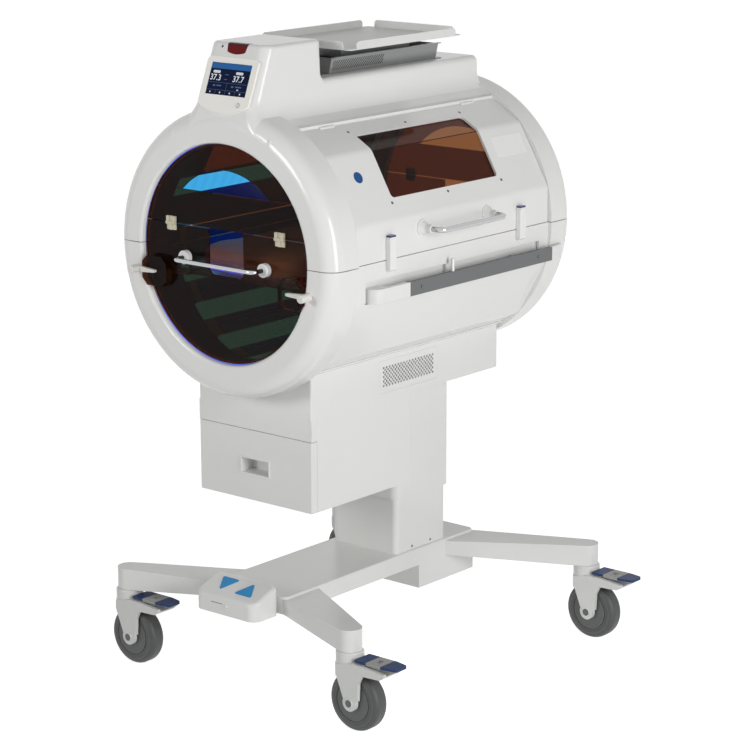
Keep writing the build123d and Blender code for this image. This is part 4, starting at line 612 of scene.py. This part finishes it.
paint(white, "lower_shell", "top_cover", "rail_brackets", "pedal_housing")
paint(white, *(f"door_shell_{side}" for side in sides))
paint(plain["frame_white"], "base_frame", "under_box", "lower_column", "column_sleeve", "plenum")
paint(plain["frame_white"], "vent_grilles", "drawer_housing", "drawer_front", "drawer_box")
paint(amber, "front_door", "rear_door", *(f"door_window_{side}" for side in sides))
paint(finish("amber_window", endWindowAmber), "end_windows")
paint(lamp, "lamp_panels", *(f"door_lamp_{side}" for side in sides))
paint(finish("door_fittings", doorFittings), "front_door_hardware", "rear_door_hardware")
paint(finish("handle_chrome", handleFinish), *(f"door_handle_{side}" for side in sides))
paint(finish("bed_plastic", bedPlastic), "bed_pan")
paint(finish("rail_steel", railSteel), "side_rails")
paint(finish("brushed_sheet", traySheet), "top_tray")
paint(finish("cradle_alloy", cradleAlloy), "tray_cradle")
paint(plain["plain_steel"], "lift_actuator")
paint(plain["display_glass"], "display_screen")
paint(finish("bezel_plastic", bezelPlastic), "display_bezel")
paint(finish("alarm_lens", alarmLens), "alarm_lamp")
paint(plain["key_rubber"], "pedal_key_down", "pedal_key_up")
paint(plain["black_plastic"], "fan")
paint(plain["pale_plastic"], "display_knob", *(f"lever_{corner}" for corner in corners))
latches = [f"latch_{side}_{end}" for side in sides for end in ends]
paint(finish("latch_bars", latchFinish), *latches)
for corner in corners:
    low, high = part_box(f"caster_wheel_{corner}")
    axle = (low + high) / 2
    paint(finish(f"wheel_{corner}", casterWheel(axle)), f"caster_wheel_{corner}")
    paint(finish(f"fork_{corner}", casterFork(axle)), f"caster_fork_{corner}")
    paint(finish(f"pedal_{corner}", brakePedal(axle)), f"caster_brake_{corner}")
print("parts painted")


def ridingPiece(name, mesh, material, body):
    # an object at the origin, its place in its mesh, that rides on a body
    mesh.materials.clear()
    mesh.materials.append(material)
    mesh.update()
    piece = bpy.data.objects.new(name, mesh)
    scene.collection.objects.link(piece)
    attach(piece, body)


def meshPiece(name, points, faces, material, body, smooth=True):
    # rows of points and a list of faces made a mesh, then a riding piece
    mesh = bpy.data.meshes.new(name)
    mesh.from_pydata(points.reshape(-1, 3).tolist(), [], faces)
    mesh.polygons.foreach_set("use_smooth", np.full(len(mesh.polygons), smooth))
    ridingPiece(name, mesh, material, body)


def meshPoints(mesh):
    # the points of a mesh, one in a row
    points = np.empty(len(mesh.vertices) * 3)
    mesh.vertices.foreach_get("co", points)
    return points.reshape(-1, 3)


def withModifiers(piece):
    # the object as its modifiers leave it at this frame
    return piece.evaluated_get(bpy.context.evaluated_depsgraph_get())


def gridFaces(rows, columns, start=0, closedRows=False):
    # quads between neighbouring rows of a grid whose columns close on themselves
    row = np.arange(rows if closedRows else rows - 1)[:, None]
    column = np.arange(columns)[None, :]
    here, there = row * columns, (row + 1) % rows * columns
    after = (column + 1) % columns
    quads = np.stack((here + column, here + after, there + after, there + column), -1)
    return quads.reshape(-1, 4) + start


def capFaces(hub, start, count, down=False):
    # triangles from a hub to a ring of points that starts at start, wound to look up or down
    first = start + np.arange(count)
    after = np.roll(first, -1)
    rim = (after, first) if down else (first, after)
    return np.stack((np.full(count, hub), *rim), -1).tolist()


def closedStack(rings, foot, top, start=0):
    # rings on each other, closed by a lowest and a highest middle point
    rows, count = rings.shape[:2]
    hub, last = start + rows * count, start + (rows - 1) * count
    faces = gridFaces(rows, count, start).tolist()
    faces += capFaces(hub, start, count, down=True) + capFaces(hub + 1, last, count)
    return np.concatenate((rings.reshape(-1, 3), (foot, top))), faces


def framed(origin, across, up):
    # a frame on a surface: local x across, local y up, local z out of the surface
    across, up = Vector(across).normalized(), Vector(up).normalized()
    turned = Matrix((across, up, across.cross(up))).transposed().to_4x4()
    return np.array(Matrix.Translation(origin) @ turned)


def placed(points, where):
    # points turned by the axes of a frame, then moved to its origin
    return points @ where[:3, :3].T + where[:3, 3]


def roundedOutline(halfWidth, halfHeight, corner, count):
    # a rectangle with quarter circles at its corners, walked once round by angle
    angle = (np.arange(count) + 0.5) / count * 2 * np.pi
    quarter = np.floor(angle / (np.pi / 2)).astype(int) % 4
    middle = np.array(((1, 1), (-1, 1), (-1, -1), (1, -1)))[quarter]
    reach = np.array((halfWidth - corner, halfHeight - corner))
    return middle * reach + corner * np.stack((np.cos(angle), np.sin(angle)), -1)


def outlineRings(halfWidth, halfHeight, corner, count, insets, heights):
    # the rounded outline drawn in by each inset, at each height
    outline = roundedOutline(halfWidth, halfHeight, corner, count)
    flat = outline * (1 - insets[:, None, None] / np.array((halfWidth, halfHeight)))
    return np.concatenate((flat, np.broadcast_to(heights[:, None, None], (*flat.shape[:2], 1))), -1)


plateSteps = {"around": 48, "edge": 4}


def plateRings(halfWidth, halfHeight, corner, thick, soft):
    # rings of a plate: its foot, its wall, and a soft edge that turns in by a quarter circle
    turn = np.linspace(0, np.pi / 2, plateSteps["edge"])
    insets = np.concatenate(((0.0,), soft * (1 - np.cos(turn))))
    heights = np.concatenate(((0.0,), thick - soft + soft * np.sin(turn)))
    return outlineRings(halfWidth, halfHeight, corner, plateSteps["around"], insets, heights)


def plates(name, items, where, material, body):
    # several small plates in one piece; an item is (x, y, half width, half height, corner, thick)
    points, faces, start = [], [], 0
    for x, y, halfWidth, halfHeight, corner, thick in items:
        rings = plateRings(halfWidth, halfHeight, corner, thick, min(thick, corner) / 2)
        rings = rings + np.array((x, y, 0.0))
        platePoints, plateFaces = closedStack(rings, (x, y, 0.0), (x, y, thick), start)
        points.append(platePoints)
        faces += plateFaces
        start += len(platePoints)
    outer = placed(np.concatenate(points), where)
    meshPiece(name, outer, faces, material, body, smooth=False)


poleReach = 0.00001  # a turned profile ends this near to its axis


def turnedProfile(profile, where, count=24):
    # a profile of radius and height carried round an axis
    radius, height = (part[:, None] for part in np.array(profile).T)
    angle = np.arange(count)[None] / count * 2 * np.pi
    level = np.broadcast_to(height, (len(profile), count))
    points = np.stack((radius * np.cos(angle), radius * np.sin(angle), level), -1)
    return placed(points.reshape(-1, 3), where), gridFaces(len(profile), count)


def turnedPiece(name, profile, where, material, body):
    # one turned profile as a piece
    points, faces = turnedProfile(profile, where)
    meshPiece(name, points, faces.tolist(), material, body)


def facetFrame(side, turn, along, y):
    # a frame on a facet of the cabin, on its right side or mirrored to its left
    turn = math.radians(turn)
    out = Vector((math.cos(turn), 0.0, math.sin(turn)))
    rise = Vector((-math.sin(turn), 0.0, math.cos(turn)))
    spot = out * cabin["apothem"] + rise * along
    if side == "left":
        out.x, rise.x, spot.x = -out.x, -rise.x, -spot.x
    origin = Vector((cabin["middle"] + spot.x, y, cabin["axis"] + spot.z))
    return framed(origin, rise.cross(out), rise)


# Screws: a domed head with a round socket; the dome is in shares of the radius and the rise,
# the foot in a share of the radius, and the socket's brim in a share of the socket
screwLook = {
    "radius": 0.0032,
    "rise": 0.0008,
    "socket": 0.0014,
    "depth": 0.0006,
    "sink": 0.0004,
    "foot": 0.98,
    "dome": ((1.0, 0.0), (0.93, 0.6), (0.7, 0.92)),
    "brim": 1.02,
}


def screws(name, frames, body, radius=screwLook["radius"]):
    # at each frame one profile, from the foot up over the dome and down into the socket
    rise, socket = screwLook["rise"], screwLook["socket"] * radius / screwLook["radius"]
    profile = [
        (poleReach, -screwLook["sink"]),
        (radius * screwLook["foot"], -screwLook["sink"]),
        *((radius * out, rise * up) for out, up in screwLook["dome"]),
        (socket * screwLook["brim"], rise),
        (socket, rise - screwLook["depth"]),
        (poleReach, rise - screwLook["depth"]),
    ]
    made = [turnedProfile(profile, where) for where in frames]
    points = np.concatenate([part[0] for part in made])
    each = len(made[0][0])
    faces = np.concatenate([part[1] + i * each for i, part in enumerate(made)]).tolist()
    meshPiece(name, points, faces, plain["screw_steel"], body)


# Side window screws: the facet's turn, the place across it, and the places along the cabin
doorScrews = {
    "below": (30, -0.040, (-0.181, -0.004, 0.174)),
    "above": (60, -0.0155, (-0.185, -0.006, 0.173)),
}
for side in sides:
    rows = doorScrews.values()
    spots = [facetFrame(side, turn, along, y) for turn, along, places in rows for y in places]
    screws(f"window_screws_{side}", spots, f"{side}_door_body")
print("screws set")

# Sticker and label on the right door, both bare; the place is the facet's turn, across and along
stickerLook = {
    "place": (30, 0.024, -0.247),
    "half": (0.012, 0.012),
    "corner": 0.011988,
    "thick": 0.0005,
}
labelLook = {
    "place": (30, 0.0305, 0.2455),
    "half": (0.0505, 0.0225),
    "corner": 0.002,
    "thick": 0.0003,
}


def doorPlate(name, look, material):
    # one plate on a facet of the right door, as its dictionary says
    item = (0.0, 0.0, *look["half"], look["corner"], look["thick"])
    where = facetFrame("right", *look["place"])
    plates(name, [item], where, material, "right_door_body")


doorPlate("round_sticker", stickerLook, plain["sticker_blue"])
doorPlate("bare_label", labelLook, plain["label_white"])

# Display: a lit readout on the turret's slanted face, with two plain readings
turretFace = {"run": 0.059, "rise": 0.148, "foot": 1.193}
slant = math.atan2(turretFace["run"], turretFace["rise"])
slantNormal = Vector((0.0, -math.cos(slant), math.sin(slant)))
slantUp = Vector((0.0, math.sin(slant), math.cos(slant)))
slantFoot = Vector((cabin["middle"], cabin["ringFront"], turretFace["foot"]))
screen = {"halfWidth": 0.053, "height": 0.0645, "middle": 0.08505, "lift": 0.0021, "print": 0.00012}


def slantFrame(x, along, lift):
    # a frame on the slanted face: x across it, along up it from its foot, lift out of it
    spot = slantFoot + slantUp * along + slantNormal * lift + Vector((x, 0.0, 0.0))
    return framed(spot, (1.0, 0.0, 0.0), slantUp)


screenFrame = slantFrame(0.0, screen["middle"], screen["lift"])


def screenSpot(across, down):
    # shares of the screen's width and height, from its top left corner, turned to metres
    return (across - 0.5) * 2 * screen["halfWidth"], (0.5 - down) * screen["height"]


def screenItem(across, down, width, height, corner):
    # one printed plate, from shares of the screen and a corner in metres
    half = width * screen["halfWidth"], height * screen["height"] / 2
    return (*screenSpot(across, down), *half, corner, screen["print"])


# Readout: dark plates that give light, dimmed a little by a fine haze
readoutLook = {
    "body": (0.02, 0.03, 0.05, 1.0),
    "haze": (2500.0, 1.0),
    "gloss": 0.2,
    "glossSwing": 0.05,
    "sockets": {"Specular IOR Level": 0.05},
    "dim": 0.85,
    "strength": 0.8,
}
# a part is its colour and its items: shares across, down, wide and high, and a corner in metres
readoutParts = {
    "title_bar": (tint("#1c5c9c"), [(0.5, 0.094, 0.995, 0.186, 0.0004)]),
    "pills": (
        tint("#dfe3ea"),
        [(0.164, 0.288, 0.18, 0.085, 0.0022), (0.736, 0.29, 0.18, 0.085, 0.0022)],
    ),
    "grid_lines": (
        tint("#4a5f86"),
        [(0.5, 0.62, 0.99, 0.010, 0.0002), (0.5, 0.853, 0.99, 0.010, 0.0002)]
        + [(0.48, 0.737, 0.006, 0.226, 0.0002)]
        + [(across, 0.927, 0.006, 0.14, 0.0002) for across in (0.235, 0.48, 0.725)],
    ),
    "dots": (
        tint("#e4e8ee"),
        [(across, 0.927, 0.03, 0.046, 0.0012) for across in (0.106, 0.354, 0.599, 0.855)]
        + [(0.773, 0.80, 0.045, 0.03, 0.0008)],
    ),
    "faint_marks": (
        tint("#4c628c"),
        [(0.43, 0.36, 0.09, 0.022, 0.0004), (0.42, 0.51, 0.08, 0.022, 0.0004)]
        + [(0.17, 0.72, 0.06, 0.05, 0.0006), (0.29, 0.715, 0.12, 0.04, 0.0006)]
        + [(0.63, 0.72, 0.06, 0.05, 0.0006), (0.78, 0.715, 0.15, 0.04, 0.0006)],
    ),
}
# the two figures, each with its place in shares of the screen
readingLook = {
    "colour": tint("#eef0f4"),
    "strength": 0.9,
    "size": 0.0172,
    "depth": 0.00006,
    "bolder": 0.00008,
    "lift": 0.0001,
    "figures": {"left": ("37.3", 0.163, 0.474), "right": ("37.7", 0.732, 0.480)},
}


def glowing(colour, strength):
    # the light dims a little from grain to grain
    def build(place):
        dim = (*(part * readoutLook["dim"] for part in colour[:3]), 1.0)
        glow = place.noise(*readoutLook["haze"]).pick(dim, colour)
        return litSurface(place, readoutLook, glow, strength)

    return build


def reading(name, digits, across, down, material):
    # figures drawn as text, made a mesh, then set on the screen
    text = bpy.data.curves.new(name, "FONT")
    text.body, text.size = digits, readingLook["size"]
    text.align_x, text.align_y = "CENTER", "CENTER"
    text.extrude, text.offset = readingLook["depth"], readingLook["bolder"]
    words = bpy.data.objects.new(name, text)
    scene.collection.objects.link(words)
    mesh = bpy.data.meshes.new_from_object(withModifiers(words))
    bpy.data.objects.remove(words)
    shift = np.array((*screenSpot(across, down), readingLook["lift"]))
    mesh.vertices.foreach_set("co", placed(meshPoints(mesh) + shift, screenFrame).ravel())
    ridingPiece(name, mesh, material, "carriage")


for name, (colour, items) in readoutParts.items():
    material = finish(f"readout_{name}", glowing(colour, readoutLook["strength"]))
    made = [screenItem(*item) for item in items]
    plates(f"readout_{name}", made, screenFrame, material, "carriage")
readingWhite = finish("reading_white", glowing(readingLook["colour"], readingLook["strength"]))
for side, (digits, across, down) in readingLook["figures"].items():
    reading(f"reading_{side}", digits, across, down, readingWhite)

# Sensor eye: a dark lens low in its hole
eyeLook = {
    "x": -0.040,
    "rise": 0.140,
    "lift": -0.0026,
    "profile": [(poleReach, 0.0), (0.0028, 0.0), (0.0027, 0.0008), (0.0018, 0.0017)],
    "top": 0.002,
}
eyeFrame = slantFrame(eyeLook["x"], eyeLook["rise"] / math.cos(slant), eyeLook["lift"])
eyeProfile = eyeLook["profile"] + [(poleReach, eyeLook["top"])]
eyeBlack = plain["black_plastic"]
turnedPiece("sensor_eye", eyeProfile, eyeFrame, eyeBlack, "carriage")
print("display set")

# Small fastenings: screws in the column's foot, and a stud and a slot in the foot switch
columnFoot = {"x": 0.090, "places": (0.0963, 0.1590), "height": 0.2204, "radius": 0.0028}
switchLook = {
    "stud": (0.0071, 0.1964),
    "studProfile": [(0.0032, -0.0005), (0.0034, 0.0012), (0.0028, 0.0034), (0.0016, 0.0046)],
    "studTop": 0.005,
    "slot": (-0.021, 0.1985),
    "slotPlate": (0.0, 0.0, 0.016, 0.0009, 0.0008, 0.0003),
}


def uprightFrame(x, y, height, across):
    # a frame on an upright face, x measured from the cabin's middle
    return framed((cabin["middle"] + x, y, height), across, (0.0, 0.0, 1.0))


spots = [
    uprightFrame(turn * columnFoot["x"], y, columnFoot["height"], (0.0, turn, 0.0))
    for turn in (1, -1)
    for y in columnFoot["places"]
]
screws("column_screws", spots, "base", columnFoot["radius"])
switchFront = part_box("pedal_housing")[0].y
studFrame, slotFrame = (
    uprightFrame(x, switchFront, height, (1.0, 0.0, 0.0))
    for x, height in (switchLook["stud"], switchLook["slot"])
)
studFoot = (poleReach, switchLook["studProfile"][0][1])
studProfile = [studFoot, *switchLook["studProfile"], (poleReach, switchLook["studTop"])]
turnedPiece("switch_stud", studProfile, studFrame, plain["pale_plastic"], "base")
slotItems = [switchLook["slotPlate"]]
plates("switch_slot", slotItems, slotFrame, plain["slot_grey"], "base")

# Gaskets: a clear bead round each mouth with a painted glow for the lamps' light, brightest low on
# the left;
# an arc of light is its angle, spread and strength
gasketLook = {
    "radius": 0.2222,
    "bead": 0.00075,
    "seat": 0.0009,
    "arcs": ((-1.9, 0.75, 1.0), (2.15, 0.30, 0.9), (2.95, 0.6, 0.22)),
    "arcEdge": 0.6,
    "least": 0.03,
    "unlit": (0.0, 0.0, 0.002, 1.0),
    "lit": (0.03, 0.09, 0.80, 1.0),
    "body": (0.05, 0.08, 0.2, 1.0),
    "haze": (300.0,),
    "gloss": 0.2,
    "glossSwing": 0.1,
    "strength": 0.9,
}


def gasketGlow(place):
    # the angle round the axis decides how much painted light the bead gives
    x, z = place.xyz()[::2]
    angle = place.maths("ARCTAN2", z - cabin["axis"], x - cabin["middle"])
    glow = gasketLook["least"]
    for centre, spread, strength in gasketLook["arcs"]:
        away = (angle - centre) * (1 / spread)
        glow = (1 - away * away).ramp(0.0, gasketLook["arcEdge"]) * strength + glow
    colour = glow.pick(gasketLook["unlit"], gasketLook["lit"])
    return litSurface(place, gasketLook, colour, gasketLook["strength"])


def torusPoints(radius, bead, y, count=180, around=10):
    # a small circle carried round a large one about the cabin's axis
    turn = np.arange(count)[:, None] / count * 2 * np.pi
    roll = np.arange(around)[None, :] / around * 2 * np.pi
    reach = radius + bead * np.cos(roll)
    x = cabin["middle"] + reach * np.cos(turn)
    z = cabin["axis"] + reach * np.sin(turn)
    return np.stack((x, np.broadcast_to(y + bead * np.sin(roll), x.shape), z), -1)


gasketBead = finish("gasket_bead", gasketGlow)
for end, sign in zip(ends, (1, -1)):
    seat = sign * (cabin["windowFront"] - gasketLook["seat"])
    points = torusPoints(gasketLook["radius"], gasketLook["bead"], seat)
    faces = gridFaces(len(points), points.shape[1], closedRows=True)[:, ::-1].tolist()
    meshPiece(f"{end}_gasket", points, faces, gasketBead, "carriage")
print("fastenings and gaskets set")

# Mattress: a rounded pad blown up as cloth, then a welt round its middle
mattressLook = {
    "half": (0.180, 0.282),
    "corner": 0.038,
    "floor": 0.8565,
    "height": 0.0505,
    "edge": 0.017,
    "edgeSteps": 6,
    "around": 96,
    "voxel": 0.006,
    "pressure": 4.0,
    "frames": 20,
    "held": 0.002,
    "cap": 0.006,
    "welt": 0.0021,
    "weltBand": 0.003,
    "light": tint("#d3d5d8"),
    "dark": tint("#b9bcc0"),
    "threads": 2600.0,
    "pebble": (90.0, 3.0),
    "pebbleDepth": 2.0,
    "relief": 0.00012,
    "crease": (14.0, 4.0, 0.65),
    "creaseShade": 0.5,
    "threadShade": 0.15,
    "gloss": 0.5,
    "glossSwing": 0.15,
    "sheen": 0.15,
}


def mattressCover(place):
    # a coated weave: two fine sets of threads that cross, with slow creases in the shade
    look = mattressLook
    x, y, z = place.xyz()
    warp, weft = ((way + z).wave(look["threads"]) for way in (x, y))
    weave = warp * weft + place.noise(*look["pebble"]) * look["pebbleDepth"]
    crease = place.noise(*look["crease"])
    shade = crease * look["creaseShade"] + warp * look["threadShade"]
    sockets = {
        "Base Color": shade.pick(look["light"], look["dark"]),
        "Roughness": crease * look["glossSwing"] + look["gloss"],
        "Sheen Weight": look["sheen"],
        "Normal": weave.bump(look["relief"]),
    }
    return place.node("BsdfPrincipled", None, sockets)


def padStart(look):
    # rounded outlines stacked from the floor, drawn in at both edges by a quarter circle
    turn = np.linspace(0, np.pi / 2, look["edgeSteps"])
    inset = look["edge"] * (1 - np.sin(turn))
    lift = look["edge"] * (1 - np.cos(turn))
    insets = np.concatenate((inset, inset[::-1]))
    heights = look["floor"] + np.concatenate((lift, look["height"] - lift[::-1]))
    rings = outlineRings(*look["half"], look["corner"], look["around"], insets, heights)
    return rings + np.array((cabin["middle"], 0.0, 0.0))


def blownPad(name, look, material):
    # remeshed in even cells, blown up as cloth with its foot held, the swelling capped
    rings = padStart(look)
    foot, top = ((cabin["middle"], 0.0, rings[row, 0, 2]) for row in (0, -1))
    points, faces = closedStack(rings, foot, top)
    mesh = bpy.data.meshes.new(name)
    mesh.from_pydata(points.tolist(), [], faces)
    pad = bpy.data.objects.new(name, mesh)
    scene.collection.objects.link(pad)
    remesh = pad.modifiers.new("remesh", "REMESH")
    remesh.mode, remesh.voxel_size = "VOXEL", look["voxel"]
    mesh = bpy.data.meshes.new_from_object(withModifiers(pad))
    pad.modifiers.clear()
    pad.data = mesh
    begun = meshPoints(mesh)
    low = np.nonzero(begun[:, 2] < look["floor"] + look["held"])[0]
    rest = pad.vertex_groups.new(name="rest")
    rest.add(low.tolist(), 1.0, "REPLACE")
    cloth = pad.modifiers.new("cloth", "CLOTH")
    cloth.settings.vertex_group_mass = "rest"
    cloth.settings.use_pressure = True
    cloth.settings.uniform_pressure_force = look["pressure"]
    cloth.settings.effector_weights.gravity = 0.0
    cloth.point_cache.frame_start, cloth.point_cache.frame_end = 1, look["frames"]
    for step in range(1, look["frames"] + 1):
        scene.frame_set(step)
    moved = meshPoints(withModifiers(pad).to_mesh()) - begun
    length = np.linalg.norm(moved, axis=1, keepdims=True)
    moved *= np.minimum(1.0, look["cap"] / np.maximum(length, 1e-9))
    points = begun + moved
    points[:, 2] = np.maximum(points[:, 2], look["floor"])
    pad.modifiers.clear()
    pad.vertex_groups.clear()
    scene.frame_set(1)
    mesh.vertices.foreach_set("co", points.ravel())
    finer = pad.modifiers.new("finer", "SUBSURF")
    finer.levels = finer.render_levels = 1
    mesh = bpy.data.meshes.new_from_object(withModifiers(pad))
    pad.modifiers.clear()
    pad.data = mesh
    mesh.materials.clear()
    mesh.materials.append(material)
    mesh.polygons.foreach_set("use_smooth", np.ones(len(mesh.polygons), dtype=bool))
    mesh.update()
    return pad


def weltPath(pad, height, band, count=240):
    # the pad's reach in each direction at a height, smoothed along the path
    points = meshPoints(pad.data)
    near = points[np.abs(points[:, 2] - height) < band]
    x, y = near[:, 0] - cabin["middle"], near[:, 1]
    angle, reach = np.arctan2(y, x), np.hypot(x, y)
    order = np.argsort(angle)
    turn = np.linspace(-np.pi, np.pi, count, endpoint=False)
    radius = np.interp(turn, angle[order], reach[order], period=2 * np.pi)
    kernel = np.array((1, 2, 1)) / 4
    radius = np.convolve(np.concatenate((radius[-1:], radius, radius[:1])), kernel, "valid")
    x, y = cabin["middle"] + radius * np.cos(turn), radius * np.sin(turn)
    return np.column_stack((x, y, np.full(count, height)))


def tubeAlong(path, radius, around=10):
    # a circle carried along a closed level path, square to it
    ahead = np.roll(path, -1, 0) - np.roll(path, 1, 0)
    ahead /= np.linalg.norm(ahead, axis=1, keepdims=True)
    up = np.array((0.0, 0.0, 1.0))
    out = np.cross(ahead, up)
    roll = np.arange(around) / around * 2 * np.pi
    sideways = np.cos(roll)[None, :, None] * out[:, None]
    upward = np.sin(roll)[None, :, None] * up[None, None]
    return path[:, None] + radius * (sideways + upward)


coverCloth = finish("mattress_cover", mattressCover)
pad = blownPad("mattress_pad", mattressLook, coverCloth)
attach(pad, "carriage")
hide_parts("mattress")
weltHeight = mattressLook["floor"] + mattressLook["height"] / 2
points = tubeAlong(weltPath(pad, weltHeight, mattressLook["weltBand"]), mattressLook["welt"])
faces = gridFaces(len(points), points.shape[1], closedRows=True).tolist()
meshPiece("mattress_welt", points, faces, coverCloth, "carriage")
print("mattress blown:", len(pad.data.polygons), "faces")

# Studio: a pale floor, white behind, a broad lamp from the right and a weak narrow one in front;
# a lamp is its name, place, target, size, power, and spread in degrees
studioLook = {
    "world": 0.23,
    "floor": (0.80, 0.80, 0.80, 1.0),
    "floorHalf": 30.0,
    "floorRough": 0.9,
    "floorGlow": 0.12,
    "floorLift": 0.72,
    "lamps": (
        ("key", (4.1, -1.2, 1.5), (0.0, 0.0, 0.9), (1.3, 2.4), 98.0, 180.0),
        ("front", (-1.4, -3.9, 1.9), (0.0, -0.3, 1.08), (1.2, 1.2), 4.6, 50.0),
    ),
}


def seenDirectly(start):
    # 1 for rays from the camera, from gloss and through glass, which all meet the white behind
    rays = ("Camera", "Glossy", "Transmission")
    camera, glossy, through = (start.node("LightPath", output=f"Is {ray} Ray") for ray in rays)
    return start.maths("ADD", camera + glossy, through, clamp=True)


def makeStudio(look):
    # world and floor give their full light to direct rays and a share of it to the rest
    world = bpy.data.worlds.new("studio")
    scene.world = world
    world.use_nodes = True
    background = world.node_tree.nodes["Background"]
    background.inputs["Color"].default_value = fullWhite
    seen = seenDirectly(Wire(world.node_tree))
    strength = seen * (1 - look["world"]) + look["world"]
    world.node_tree.links.new(strength.socket, background.inputs["Strength"])

    def floorFinish(place):
        sockets = {
            "Base Color": look["floor"],
            "Roughness": look["floorRough"],
            "Specular IOR Level": 0.0,
            "Emission Color": fullWhite,
            "Emission Strength": seenDirectly(place) * look["floorLift"] + look["floorGlow"],
        }
        return place.node("BsdfPrincipled", None, sockets)

    turns = ((-1, -1, 0), (1, -1, 0), (1, 1, 0), (-1, 1, 0))
    mesh = bpy.data.meshes.new("floor")
    mesh.from_pydata((np.array(turns) * look["floorHalf"]).tolist(), [], [(0, 1, 2, 3)])
    mesh.materials.append(finish("floor_paint", floorFinish))
    floor = bpy.data.objects.new("floor", mesh)
    scene.collection.objects.link(floor)
    for name, place, target, size, power, spread in look["lamps"]:
        data = bpy.data.lights.new(name, "AREA")
        data.shape, data.size, data.size_y, data.energy = "RECTANGLE", *size, power
        data.spread = math.radians(spread)
        light = bpy.data.objects.new(name, data)
        aim = (Vector(target) - Vector(place)).to_track_quat("-Z", "Y")
        light.matrix_world = Matrix.Translation(place) @ aim.to_matrix().to_4x4()
        scene.collection.objects.link(light)


makeStudio(studioLook)
print("studio lit")
